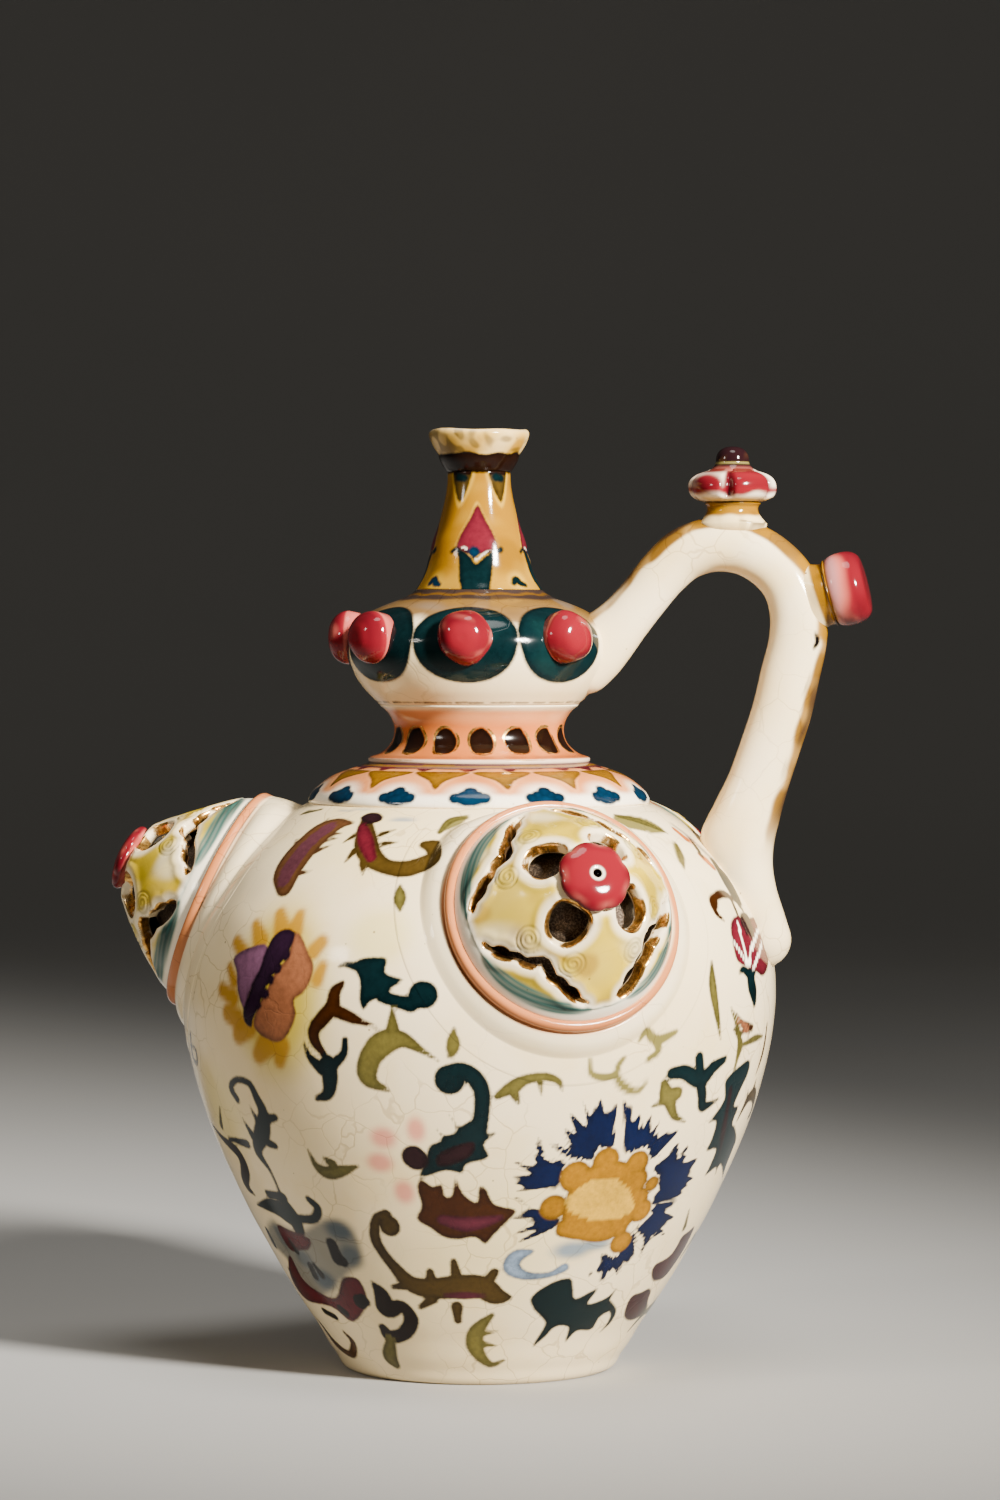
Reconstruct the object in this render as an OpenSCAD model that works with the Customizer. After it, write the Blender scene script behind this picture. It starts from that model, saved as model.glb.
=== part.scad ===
// Puzzle jug: a closed pot with three pierced bosses, a hollow handle and a small mouth.
// The drink rises through the dip tube and the handle into the bulb, and leaves at the mouth.
// Origin: middle of the foot, on the ground. +Z is up and the handle points along +X.

/* [Body] */
// Widest radius of the body
body_r = 66.5; // [58:0.5:75]
// Height of the body up to the shoulder seam
body_h = 126.3; // [112:0.1:140]
// Wall of the body
body_wall = 4; // [3:0.1:5.5]
// Thickness of the floor
floor_t = 5; // [4:0.1:7]
// Depth of the hollow under the foot
foot_recess = 1.6; // [0.8:0.1:2.5]
// Width of the foot ring
foot_ring_w = 5.5; // [3:0.1:9]
// Radius of the opening at the top of the body
throat_r = 31; // [26:0.1:33]

/* [Shoulder ring] */
// Outer radius of the shoulder ring
shoulder_r = 38; // [36:0.1:40]
// Height of the shoulder ring
shoulder_h = 9.2; // [7:0.1:12]
// Radius of the opening at its top
shoulder_bore_r = 18; // [17.5:0.1:19]

/* [Collar] */
// Radius of the collar at its foot
collar_r = 24.6; // [23.5:0.1:26]
// Height of the collar
collar_h = 12.9; // [11:0.1:16]
// Radius of the bore below the throat plate
collar_bore_r = 15; // [13:0.1:15.5]
// Radius of the seat for the throat plate and the bulb
collar_seat_r = 16.2; // [16:0.1:17]
// Height of the ledge that carries the throat plate
collar_ledge_h = 6.4; // [5:0.1:7]
// Thickness of the throat plate
plate_t = 3; // [2:0.1:3.5]

/* [Bulb] */
// Widest radius of the bulb
bulb_r = 29.7; // [27:0.1:33]
// Height of the bulb
bulb_h = 25.6; // [23:0.1:30]
// Wall of the bulb
bulb_wall = 3.5; // [2.5:0.1:4.5]
// Radius of the bulb's lower opening
bulb_bore_r = 13.5; // [11:0.1:14]
// Radius of the bulb's upper opening
bulb_top_bore_r = 10; // [9.5:0.1:10.5]

/* [Neck] */
// Radius of the neck at its foot
neck_r = 14.2; // [13:0.1:15]
// Height of the neck
neck_h = 26.4; // [22:0.1:34]
// Wall of the neck
neck_wall = 2.6; // [2:0.1:3]
// Radius of the tenon at the top of the neck
neck_tenon_r = 5.6; // [5.4:0.1:5.8]
// Length of the tenon
neck_tenon_l = 1.5; // [1:0.1:1.8]

/* [Mouthpiece] */
// Outer radius of the flared cup
mouth_r = 11.2; // [10.5:0.1:13]
// Height of the mouthpiece
mouth_h = 9.6; // [9:0.1:12]
// Radius of the drinking bore
mouth_bore_r = 4.2; // [3.8:0.1:4.5]
// Length of the drinking bore
mouth_bore_l = 3; // [2.5:0.1:3.5]
// Radius of the cup inside its rim
mouth_cup_r = 9.3; // [8.5:0.1:9.5]

/* [Beads] */
// Radius of a bead
bead_r = 6.3; // [5:0.1:7]
// Height of a bead above the bulb
bead_h = 4.6; // [3:0.1:6]
// Height of the beads' centres above the bulb's foot
bead_z = 15; // [12:0.1:17]
// Angle from one bead to the next
bead_step = 46.7; // [42:0.1:50]

/* [Bosses] */
// Angle of the two bosses on the handle's side
boss_angle = 63; // [55:1:70]
// How far the middle of a boss lies below the shoulder seam
boss_drop = 21.7; // [18:0.1:26]
// Tilt of a boss above level
boss_tilt = 23.5; // [15:0.5:30]
// How far the middle of a boss lies inside the body's skin
boss_sink = 1.6; // [0.5:0.1:3]
// Radius of the hole in the body
boss_hole_r = 21; // [19.5:0.1:21.5]
// Radius of the dome at its foot
dome_r = 24.2; // [23.5:0.1:26]
// Height of the dome up to the knob
dome_h = 21.2; // [18:0.1:26]
// Wall of the dome
dome_wall = 3; // [2:0.1:3.5]
// Outer radius of the salmon rim
flange_r = 26; // [25.5:0.1:28]
// Depth of the flange's skirt
flange_depth = 12; // [10:0.1:14]
// Radius of the inner cone at its foot
back_r = 18; // [16:0.1:18.5]
// Height of the inner cone
back_h = 13.2; // [10:0.1:14]
// Wall of the inner cone
back_wall = 2.6; // [2:0.1:3.5]
// Length of the inner cone's tenon in the body
back_tenon_l = 10; // [8:0.1:12]
// Radius of the pink knob
knob_r = 7.5; // [6.5:0.1:8.5]
// Height of the pink knob
knob_h = 3.5; // [2.5:0.1:5]
// Radius of the pinhole
pinhole_r = 0.9; // [0.6:0.1:1.4]
// Radius of the vent tube
vent_r = 2.5; // [2:0.1:3.5]

/* [Piercing] */
// Turn of the pattern on the front boss
front_turn = 57; // [0:1:90]
// Turn of the pattern on the left boss
left_turn = 49; // [0:1:90]
// Turn of the pattern on the back boss
back_turn = 53; // [0:1:90]
// Length of a drop-shaped hole along the slope
drop_l = 8.4; // [6:0.1:9]
// Width of a drop-shaped hole
drop_w = 9.2; // [7:0.1:10]
// Length of a slot round the dome
slot_l = 22.4; // [18:0.1:24]
// Width of a slot
slot_w = 3.6; // [2.5:0.1:4.5]
// Depth of a slot's bow along the slope
slot_bow = 8.6; // [6:0.1:9]

/* [Handle] */
// Radius of the handle's tube
handle_r = 6.2; // [5.5:0.1:7.5]
// Radius of the drinking passage in the handle
handle_bore_r = 3; // [2.4:0.1:3.6]
// Radius of the bend over the top
bend_r = 16.9; // [15:0.1:20]
// Distance from the bulb's skin out to the middle of the bend
bend_out = 24.7; // [22:0.1:28]
// Height of the middle of the bend above the bulb's foot
bend_up = 18.7; // [16:0.1:22]
// Direction of the arm above level
arm_angle = 50; // [42:1:56]
// Direction of the grip below level
grip_angle = 107; // [102:1:110]
// How far the arm's root lies above the bulb's foot
arm_root_z = 6.6; // [6:0.1:8]
// Radius of the grip where it meets the body
grip_root_r = 8; // [7:0.1:9]
// Thickness of the tail above the body's skin
tail_rise = 5; // [4:0.1:6]
// Radius of the tail
tail_r = 6; // [5:0.1:7]

/* [Handle ornaments] */
// Distance of the finial from the middle of the bend
finial_shift = 2.6; // [0:0.1:4]
// Radius of the ochre stem
finial_stem_r = 5.7; // [5:0.1:6.2]
// Height of the stem above the handle
finial_stem_h = 3.4; // [2.5:0.1:5]
// Radius of the pink flower
flower_r = 9.85; // [8.5:0.1:11]
// Height of the flower
flower_h = 7.4; // [6:0.1:9]
// Number of petals
petal_count = 5; // [4:1:7]
// Radius of the dark bead on top
tip_r = 4.1; // [3.2:0.1:4.6]
// Height of the dark bead
tip_h = 5; // [4:0.1:6]
// Direction of the outer knob above level
button_angle = 14; // [5:1:25]
// Radius of the outer stem
button_stem_r = 6.4; // [5.5:0.1:6.6]
// Height of the outer stem
button_stem_h = 2.2; // [1.5:0.1:3]
// Radius of the outer button
button_r = 8.3; // [7.5:0.1:9.5]
// Thickness of the outer button
button_h = 8.2; // [6:0.1:10]

/* [Dip tube] */
// Outer radius of the dip tube
dip_r = 4.2; // [3.8:0.1:5]
// Wall of the dip tube
dip_wall = 1.5; // [1:0.1:1.8]
// Height of the dip tube's end above the floor
dip_clear = 7; // [4:0.1:12]

/* [Hidden] */
$fn = 72;
// Gap between a piece and the hole it fits in
fit_gap = 0.1;
// Length of the spigots that locate one thrown section in the next
spigot_l = 2.5;
// Wall of a spigot
spigot_wall = 2.4;
// Overrun of every cut
over = 1;
// Gap between the bosses' flanges and the shoulder ring
flange_gap = 3.5;
// Angles of the three bosses
boss_angles = [-boss_angle, 180, boss_angle];
boss_turns = [front_turn, left_turn, back_turn];
// Heights of the seams above the ground
shoulder_z = body_h;
collar_z = shoulder_z + shoulder_h;
bulb_z = collar_z + collar_h;
neck_z = bulb_z + bulb_h;
mouth_z = neck_z + neck_h;
// Height of the middle of a boss
boss_z = body_h - boss_drop;
// Middle of the handle's bend
bend_x = bulb_r + bend_out;
bend_z = bulb_z + bend_up;

// Outlines, as [radius share, height share]
body_shares = [[0.441, 0], [0.46, 0.006], [0.472, 0.017], [0.483, 0.027], [0.511, 0.048], [0.55, 0.082],
    [0.597, 0.117], [0.662, 0.172], [0.719, 0.225], [0.771, 0.275], [0.821, 0.329], [0.872, 0.387],
    [0.92, 0.451], [0.956, 0.515], [0.983, 0.578], [0.997, 0.633], [1, 0.673], [0.995, 0.713],
    [0.977, 0.76], [0.946, 0.806], [0.901, 0.847], [0.845, 0.889], [0.779, 0.926], [0.705, 0.96],
    [0.641, 0.983], [0.58, 1]];
shoulder_shares = [[1, 0], [1.005, 0.09], [0.99, 0.24], [0.963, 0.36], [0.908, 0.55], [0.847, 0.7],
    [0.782, 0.8], [0.716, 0.89], [0.668, 0.95], [0.648, 1]];
collar_shares = [[1, 0], [1.012, 0.05], [0.99, 0.09], [0.92, 0.13], [0.862, 0.2], [0.813, 0.3],
    [0.785, 0.4], [0.772, 0.52], [0.777, 0.64], [0.805, 0.78], [0.85, 0.9], [0.894, 0.965], [0.907, 1]];
bulb_shares = [[0.751, 0], [0.8, 0.06], [0.859, 0.13], [0.916, 0.22], [0.963, 0.315], [0.99, 0.4],
    [1, 0.485], [0.99, 0.58], [0.956, 0.665], [0.896, 0.746], [0.808, 0.816], [0.694, 0.875],
    [0.593, 0.918], [0.519, 0.96], [0.478, 1]];
neck_shares = [[1, 0], [0.908, 0.083], [0.845, 0.167], [0.803, 0.254], [0.768, 0.337], [0.725, 0.424],
    [0.669, 0.508], [0.62, 0.59], [0.577, 0.678], [0.542, 0.761], [0.514, 0.848], [0.497, 0.93], [0.493, 1]];
mouth_shares = [[0.643, 0], [0.7, 0.09], [0.762, 0.22], [0.805, 0.34], [0.82, 0.4], [0.88, 0.51],
    [0.95, 0.68], [0.99, 0.83], [1, 0.9], [0.98, 0.97], [0.93, 1], [0.87, 0.99]];
bead_shares = [[1, 0], [0.985, 0.18], [0.93, 0.38], [0.83, 0.58], [0.68, 0.77], [0.48, 0.91],
    [0.25, 0.98], [0, 1]];
dome_shares = [[1, 0], [0.996, 0.05], [0.963, 0.146], [0.909, 0.245], [0.835, 0.358], [0.756, 0.486],
    [0.678, 0.604], [0.595, 0.708], [0.508, 0.807], [0.426, 0.896], [0.36, 0.962], [0.31, 1]];
back_shares = [[1, 0], [0.956, 0.15], [0.856, 0.36], [0.722, 0.58], [0.578, 0.79], [0.422, 0.94], [0.28, 1]];
knob_shares = [[0.93, 0], [1, 0.22], [0.99, 0.45], [0.88, 0.72], [0.69, 0.9], [0.42, 0.985], [0.2, 1]];
// The flange: radius as a share of flange_r, depth below the dome's foot as a share of flange_depth
flange_shares = [[0.968, 0], [0.995, -0.05], [1.004, -0.11], [1, -0.19], [1.015, -0.27], [1.06, -0.4],
    [1.115, -0.55], [1.154, -0.7], [1.173, -1]];
// The grip swells towards its root, as [share of the root's extra radius, share of its length]
grip_swell_shares = [[0, 0], [0.04, 0.2], [0.12, 0.35], [0.3, 0.48], [0.65, 0.58], [1, 0.66], [1, 1]];
// The arm draws in a little on its way to the bulb, as [share of handle_r, share of its length]
arm_shares = [[1, 0], [0.95, 0.2], [0.92, 0.45], [0.95, 0.7], [1, 1]];
// The arm's round end inside the bulb's lower side, as shares of handle_r
ball_shares = [[0.924, 0.383], [0.707, 0.707], [0.383, 0.924], [0, 1]];
// Places on the body's skin that the tail follows, as shares of the body's height
tail_shares = [0.92, 0.83, 0.735];
// A drop-shaped hole, as [share of its length, share of its width]
drop_shares = [[0.52, 0], [0.36, 0.2], [0.16, 0.38], [-0.08, 0.49], [-0.3, 0.46], [-0.43, 0.33],
    [-0.48, 0.14], [-0.48, -0.14], [-0.43, -0.33], [-0.3, -0.46], [-0.08, -0.49], [0.16, -0.38], [0.36, -0.2]];
// Half of a slot's middle line, as [share of its bow, share of its length], from the cusp to the end
slot_shares = [[-0.17, 0], [0.02, 0.07], [0.15, 0.16], [0.27, 0.24], [0.45, 0.36], [0.68, 0.48]];
// Half widths of the slot at those places
slot_width_shares = [0.7, 0.5, 0.45, 0.5, 0.5, 0.12];
// Places of the holes: radius as a share of dome_r, and the slope of the dome there in degrees
drop_place_share = 0.463;
drop_slope = 45;
slot_place_share = 0.745;
slot_slope = 52;

flower_shares = [[0.6, 0], [0.78, 0.05], [0.92, 0.16], [0.99, 0.32], [1, 0.48], [0.96, 0.66],
    [0.85, 0.83], [0.68, 0.94], [0.45, 1], [0, 1]];
button_shares = [[0.8, 0], [0.9, 0.1], [0.98, 0.3], [1, 0.5], [0.98, 0.7], [0.88, 0.88], [0.68, 0.97],
    [0.35, 1], [0, 1]];

// Middle of a boss, out from the jug's axis
boss_out = skin_at(body_shares, body_r, body_h, boss_z) - boss_sink;
// The handle's bend runs between these two turns round its middle, and straight runs leave both ends
arm_turn = arm_angle + 90;
grip_turn = 90 - grip_angle;
arm_l = (bend_up + bend_r * sin(arm_turn) - arm_root_z) / sin(arm_angle);
grip_l = (bend_z + bend_r * sin(grip_turn) - body_shares[16][1] * body_h) / cos(grip_turn);
// The tail follows the circle through three places on the body's skin
tail_points = [for (s = tail_shares) [skin_at(body_shares, body_r, body_h, s * body_h), s * body_h]];
tail_middle = circle_middle(tail_points[0], tail_points[1], tail_points[2]);
tail_bend = norm(tail_points[0] - tail_middle) + tail_rise - tail_r;
tail_from = atan2(tail_points[2][1] - tail_middle[1], tail_points[2][0] - tail_middle[0]);
tail_to = atan2(tail_points[0][1] - tail_middle[1], tail_points[0][0] - tail_middle[0]);
// Top of the handle under the finial
finial_x = bend_x + finial_shift;
finial_z = bend_z + sqrt(pow(bend_r + handle_r, 2) - pow(finial_shift, 2));
// Radius and depth of the seams that part the flower's petals
seam_r = 2.2;
seam_depth = 1.3;

// Points of an outline of the given radius and height
function outline(shares, r, h) = [for (s = shares) [s[0] * r, s[1] * h]];

// Radius of an outline at height z
function skin_at(shares, r, h, z) = r * lookup(z / h, [for (s = shares) [s[1], s[0]]]);

// Inward normal of an outline at point i
function inward(p, i) =
    let (d = p[min(i + 1, len(p) - 1)] - p[max(i - 1, 0)])
    [-d[1], d[0]] / norm(d);

// Points first to last of an outline, moved inward by a wall
function inset(p, wall, first, last) = [for (i = [first:last]) p[i] + wall * inward(p, i)];

// The same points from last to first
function backwards(p) = [for (i = [len(p) - 1:-1:0]) p[i]];

// Middle of the circle through three points
function circle_middle(a, b, c) =
    let (u = b - a, v = c - a, k = 2 * (u[0] * v[1] - u[1] * v[0]), uu = u * u, vv = v * v)
    a + [v[1] * uu - u[1] * vv, u[0] * vv - v[0] * uu] / k;

// Solid of revolution filled up to the axis
module filled(points) {
    rotate_extrude()
        polygon(concat([[0, points[0][1]]], points, [[0, points[len(points) - 1][1]]]));
}

// The body's and the bulb's outer shapes, without their hollows, for whatever is cut to fit them
module body_skin() {
    filled(outline(body_shares, body_r, body_h));
}

module bulb_skin() {
    translate([0, 0, bulb_z])
        filled(outline(bulb_shares, bulb_r, bulb_h));
}

// Local z runs out along the boss, local x lies level and local y climbs the dome
module at_boss(angle) {
    rotate([0, 0, angle])
        translate([boss_out, 0, boss_z])
            rotate([0, 90 - boss_tilt, 0])
                rotate([0, 0, 90])
                    children();
}

// Start of a straight run at a turn of the handle's bend, with local z along the given direction
module run_from(turn, heading) {
    translate([bend_x + bend_r * cos(turn), 0, bend_z + bend_r * sin(turn)])
        rotate([0, 90 - heading, 0])
            children();
}

// The bend as a full tube, for what is cut to sit on it
module handle_bend(r) {
    translate([bend_x, 0, bend_z])
        rotate([90, 0, 0])
            rotate([0, 0, grip_turn])
                rotate_extrude(angle = arm_turn - grip_turn)
                    translate([bend_r, 0])
                        circle(r);
}

// The grip's outline, swelling from the tube's radius to the root's
function grip_outline() = [for (s = grip_swell_shares)
    [handle_r + s[0] * (grip_root_r - handle_r), s[1] * grip_l]];

module body() {
    skin = outline(body_shares, body_r, body_h);
    last = len(skin) - 1;
    hollow = concat(
        [[0, foot_recess + floor_t], [skin[3][0] - body_wall, foot_recess + floor_t]],
        inset(skin, body_wall, 6, last - 2),
        [[throat_r, body_h - body_wall], [throat_r, body_h + over], [0, body_h + over]]);
    color("ivory")
        difference() {
            body_skin();
            rotate_extrude() polygon(hollow);
            translate([0, 0, -over]) cylinder(r = skin[0][0] - foot_ring_w, h = foot_recess + over);
            for (angle = boss_angles)
                at_boss(angle)
                    translate([0, 0, -flange_depth - body_wall])
                        cylinder(r = boss_hole_r, h = flange_depth + 2 * body_wall);
            run_from(grip_turn, -grip_angle)
                cylinder(r = dip_r + fit_gap, h = grip_l);
        }
}

module shoulder_ring() {
    skin = outline(shoulder_shares, shoulder_r, shoulder_h);
    bore = throat_r - fit_gap - spigot_wall;
    hollow = [[shoulder_bore_r, shoulder_h], [shoulder_bore_r, shoulder_h * 0.62],
        [(bore + shoulder_bore_r) / 2, shoulder_h * 0.48], [bore, 0], [bore, -spigot_l]];
    color("lightpink")
        translate([0, 0, shoulder_z])
            rotate_extrude()
                polygon(concat([[throat_r - fit_gap, -spigot_l], [throat_r - fit_gap, 0]], skin, hollow));
}

module collar() {
    skin = outline(collar_shares, collar_r, collar_h);
    spigot_r = shoulder_bore_r - fit_gap;
    color("salmon")
        translate([0, 0, collar_z])
            rotate_extrude()
                polygon(concat([[collar_bore_r, -spigot_l], [spigot_r, -spigot_l], [spigot_r, 0]], skin,
                    [[collar_seat_r, collar_h], [collar_seat_r, collar_ledge_h], [collar_bore_r, collar_ledge_h]]));
}

module throat_plate() {
    color("tan")
        translate([0, 0, collar_z + collar_ledge_h])
            cylinder(r = collar_seat_r - fit_gap, h = plate_t);
}

module bulb() {
    skin = outline(bulb_shares, bulb_r, bulb_h);
    last = len(skin) - 1;
    spigot_r = collar_seat_r - fit_gap;
    hollow = concat([[bulb_top_bore_r, bulb_h], [bulb_top_bore_r, bulb_h - bulb_wall]],
        backwards(inset(skin, bulb_wall, 3, last - 3)),
        [[bulb_bore_r, bulb_wall], [bulb_bore_r, -spigot_l]]);
    color("ivory")
        difference() {
            translate([0, 0, bulb_z])
                rotate_extrude()
                    polygon(concat([[spigot_r, -spigot_l], [spigot_r, 0]], skin, hollow));
            run_from(arm_turn, arm_angle + 180)
                cylinder(r = handle_bore_r, h = arm_l);
        }
}

module neck() {
    skin = outline(neck_shares, neck_r, neck_h);
    last = len(skin) - 1;
    spigot_r = bulb_top_bore_r - fit_gap;
    bore = spigot_r - spigot_wall;
    top_bore = neck_tenon_r - (neck_tenon_r - mouth_bore_r) * 0.7;
    color("gold")
        translate([0, 0, neck_z])
            rotate_extrude()
                polygon(concat([[bore, -spigot_l], [spigot_r, -spigot_l], [spigot_r, 0]], skin,
                    [[neck_tenon_r, neck_h], [neck_tenon_r, neck_h + neck_tenon_l], [top_bore, neck_h + neck_tenon_l],
                        [top_bore, skin[last - 1][1]]],
                    backwards(inset(skin, neck_wall, 6, last - 2)), [[bore, skin[4][1]]]));
}

module mouthpiece() {
    skin = outline(mouth_shares, mouth_r, mouth_h);
    counter_r = neck_tenon_r + fit_gap;
    bore_foot = neck_tenon_l + fit_gap;
    cup_foot = bore_foot + mouth_bore_l;
    color("beige")
        translate([0, 0, mouth_z])
            rotate_extrude()
                polygon(concat([[counter_r, 0]], skin,
                    [[mouth_cup_r, mouth_h * 0.94], [mouth_cup_r * 0.93, mouth_h * 0.82],
                        [mouth_cup_r * 0.76, (mouth_h + cup_foot) / 2], [mouth_cup_r * 0.55, cup_foot + neck_wall / 5],
                        [mouth_bore_r, cup_foot], [mouth_bore_r, bore_foot], [counter_r, bore_foot]]));
}

module bead(count) {
    angle = 180 + (count - 4) * bead_step;
    seat = skin_at(bulb_shares, bulb_r, bulb_h, bead_z);
    color("hotpink")
        difference() {
            rotate([0, 0, angle])
                translate([seat, 0, bulb_z + bead_z])
                    rotate([0, 90, 0])
                        union() {
                            filled(outline(bead_shares, bead_r, bead_h));
                            translate([0, 0, -bulb_wall]) cylinder(r = bead_r, h = bulb_wall);
                        }
            bulb_skin();
        }
}

module flange(angle) {
    color("ivory")
        difference() {
            at_boss(angle)
                difference() {
                    filled(backwards(outline(flange_shares, flange_r, flange_depth)));
                    translate([0, 0, -flange_depth - over])
                        cylinder(r = boss_hole_r, h = flange_depth + 2 * over);
                }
            body_skin();
            cylinder(r = shoulder_r + flange_gap, h = mouth_z);
        }
}

module back(angle) {
    skin = outline(back_shares, back_r, back_h);
    tenon_r = boss_hole_r - fit_gap;
    last = len(skin) - 1;
    color("saddlebrown")
        at_boss(angle)
            rotate_extrude()
                polygon(concat([[tenon_r, -back_tenon_l], [tenon_r, 0]], skin,
                    [[pinhole_r, back_h], [pinhole_r, back_h - back_wall]],
                    backwards(inset(skin, back_wall, 1, last - 1)), [[back_r - back_wall, -back_tenon_l]]));
}

module dome(angle, turn) {
    skin = outline(dome_shares, dome_r, dome_h);
    last = len(skin) - 1;
    foot_bore = boss_hole_r - over;
    drop_z = dome_height_at(drop_place_share * dome_r);
    slot_z = dome_height_at(slot_place_share * dome_r);
    cut = 2 * dome_wall;
    color("cornsilk")
        at_boss(angle)
            difference() {
                rotate_extrude()
                    polygon(concat([[foot_bore, 0]], skin,
                        [[vent_r + fit_gap, dome_h], [vent_r + fit_gap, dome_h - dome_wall]],
                        backwards(inset(skin, dome_wall, 2, last - 1))));
                for (k = [0:3])
                    rotate([0, 0, turn + 90 * k]) {
                        translate([drop_place_share * dome_r, 0, drop_z])
                            rotate([0, drop_slope, 0])
                                translate([0, 0, -cut])
                                    linear_extrude(2 * cut)
                                        polygon(outline(drop_shares, drop_l, drop_w));
                        translate([slot_place_share * dome_r, 0, slot_z])
                            rotate([0, slot_slope, 0])
                                translate([0, 0, -cut])
                                    linear_extrude(2 * cut)
                                        polygon(slot_outline());
                    }
            }
}

// Height of the dome's skin at radius r
function dome_height_at(r) = dome_h * lookup(r / dome_r, [for (s = backwards(dome_shares)) s]);

// The slot's outline: its middle line widened to both sides, and mirrored at the cusp
function slot_side(side) = [for (i = [0:len(slot_shares) - 1])
    [slot_shares[i][0] * slot_bow + side * slot_width_shares[i] * slot_w, slot_shares[i][1] * slot_l]];
function mirrored(p) = [for (q = p) if (q[1] > 0) [q[0], -q[1]]];
function slot_outline() = concat(slot_side(-1), backwards(slot_side(1)), mirrored(slot_side(1)),
    backwards(mirrored(slot_side(-1))));

module vent(angle) {
    color("tan")
        at_boss(angle)
            translate([0, 0, back_h])
                difference() {
                    cylinder(r = vent_r, h = dome_h - back_h);
                    translate([0, 0, -over]) cylinder(r = pinhole_r, h = dome_h);
                }
}

module knob(angle) {
    color("hotpink")
        at_boss(angle)
            translate([0, 0, dome_h])
                difference() {
                    filled(outline(knob_shares, knob_r, knob_h));
                    translate([0, 0, -over]) cylinder(r = pinhole_r, h = knob_h + 2 * over);
                }
}

// The handle is three hollow runs in one piece: arm, bend and grip, with the tail on the grip
module arm_run() {
    run_from(arm_turn, arm_angle + 180)
        difference() {
            filled(concat(outline(arm_shares, handle_r, arm_l),
                [for (s = ball_shares) [s[0] * handle_r, arm_l + s[1] * handle_r]]));
            translate([0, 0, -over]) cylinder(r = handle_bore_r, h = arm_l + over);
        }
}

module bend_run() {
    translate([bend_x, 0, bend_z])
        rotate([90, 0, 0])
            rotate([0, 0, grip_turn])
                rotate_extrude(angle = arm_turn - grip_turn)
                    translate([bend_r, 0])
                        difference() {
                            circle(handle_r);
                            circle(handle_bore_r);
                        }
}

module grip_run() {
    difference() {
        union() {
            run_from(grip_turn, -grip_angle) filled(grip_outline());
            translate([tail_middle[0], 0, tail_middle[1]])
                rotate([90, 0, 0])
                    rotate([0, 0, tail_from])
                        rotate_extrude(angle = tail_to - tail_from)
                            translate([tail_bend, 0])
                                circle(tail_r);
            translate([tail_middle[0] + tail_bend * cos(tail_from), 0,
                tail_middle[1] + tail_bend * sin(tail_from)])
                sphere(tail_r);
        }
        run_from(grip_turn, -grip_angle)
            translate([0, 0, -over])
                cylinder(r = handle_bore_r, h = grip_l);
    }
}

module handle() {
    color("ivory")
        difference() {
            union() {
                bend_run();
                arm_run();
                grip_run();
            }
            body_skin();
            bulb_skin();
        }
}

module finial_stem() {
    color("goldenrod")
        difference() {
            translate([finial_x, 0, finial_z])
                filled([[finial_stem_r * 1.12, -handle_r / 2], [finial_stem_r * 1.1, 0],
                    [finial_stem_r, finial_stem_h * 0.4], [finial_stem_r, finial_stem_h * 0.7],
                    [finial_stem_r * 1.12, finial_stem_h]]);
            handle_bend(handle_r);
        }
}

module finial_flower() {
    color("hotpink")
        translate([finial_x, 0, finial_z + finial_stem_h])
            difference() {
                filled(outline(flower_shares, flower_r, flower_h));
                for (k = [0:petal_count - 1])
                    rotate([0, 0, k * 360 / petal_count - 90])
                        translate([flower_r + seam_r - seam_depth, 0, -over])
                            cylinder(r = seam_r, h = flower_h + 2 * over);
            }
}

module finial_bead() {
    color("indigo")
        translate([finial_x, 0, finial_z + finial_stem_h + flower_h])
            filled(outline(bead_shares, tip_r, tip_h));
}

module at_button() {
    translate([bend_x, 0, bend_z])
        rotate([0, 90 - button_angle, 0])
            translate([0, 0, bend_r + handle_r])
                children();
}

module knob_stem() {
    color("goldenrod")
        difference() {
            at_button()
                filled([[button_stem_r * 0.98, -handle_r / 2], [button_stem_r, 0],
                    [button_stem_r * 0.96, button_stem_h / 2], [button_stem_r, button_stem_h]]);
            handle_bend(handle_r);
        }
}

module knob_button() {
    color("hotpink")
        at_button()
            translate([0, 0, button_stem_h])
                filled(outline(button_shares, button_r, button_h));
}

module dip_tube() {
    reach = (bend_z + bend_r * sin(grip_turn) - foot_recess - floor_t - dip_clear) / cos(grip_turn);
    color("tan")
        intersection() {
            run_from(grip_turn, -grip_angle)
                difference() {
                    cylinder(r = dip_r, h = reach);
                    translate([0, 0, -over]) cylinder(r = dip_r - dip_wall, h = reach + 2 * over);
                }
            body_skin();
        }
}

body();
shoulder_ring();
collar();
throat_plate();
bulb();
neck();
mouthpiece();
bead(1);  // bead_1
bead(2);  // bead_2
bead(3);  // bead_3
bead(4);  // bead_4
bead(5);  // bead_5
bead(6);  // bead_6
bead(7);  // bead_7
flange(boss_angles[0]);  // front_flange
back(boss_angles[0]);  // front_back
dome(boss_angles[0], boss_turns[0]);  // front_dome
vent(boss_angles[0]);  // front_vent
knob(boss_angles[0]);  // front_knob
flange(boss_angles[1]);  // left_flange
back(boss_angles[1]);  // left_back
dome(boss_angles[1], boss_turns[1]);  // left_dome
vent(boss_angles[1]);  // left_vent
knob(boss_angles[1]);  // left_knob
flange(boss_angles[2]);  // rear_flange
back(boss_angles[2]);  // rear_back
dome(boss_angles[2], boss_turns[2]);  // rear_dome
vent(boss_angles[2]);  // rear_vent
knob(boss_angles[2]);  // rear_knob
handle();
finial_stem();
finial_flower();
finial_bead();
knob_stem();
knob_button();
dip_tube();
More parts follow.
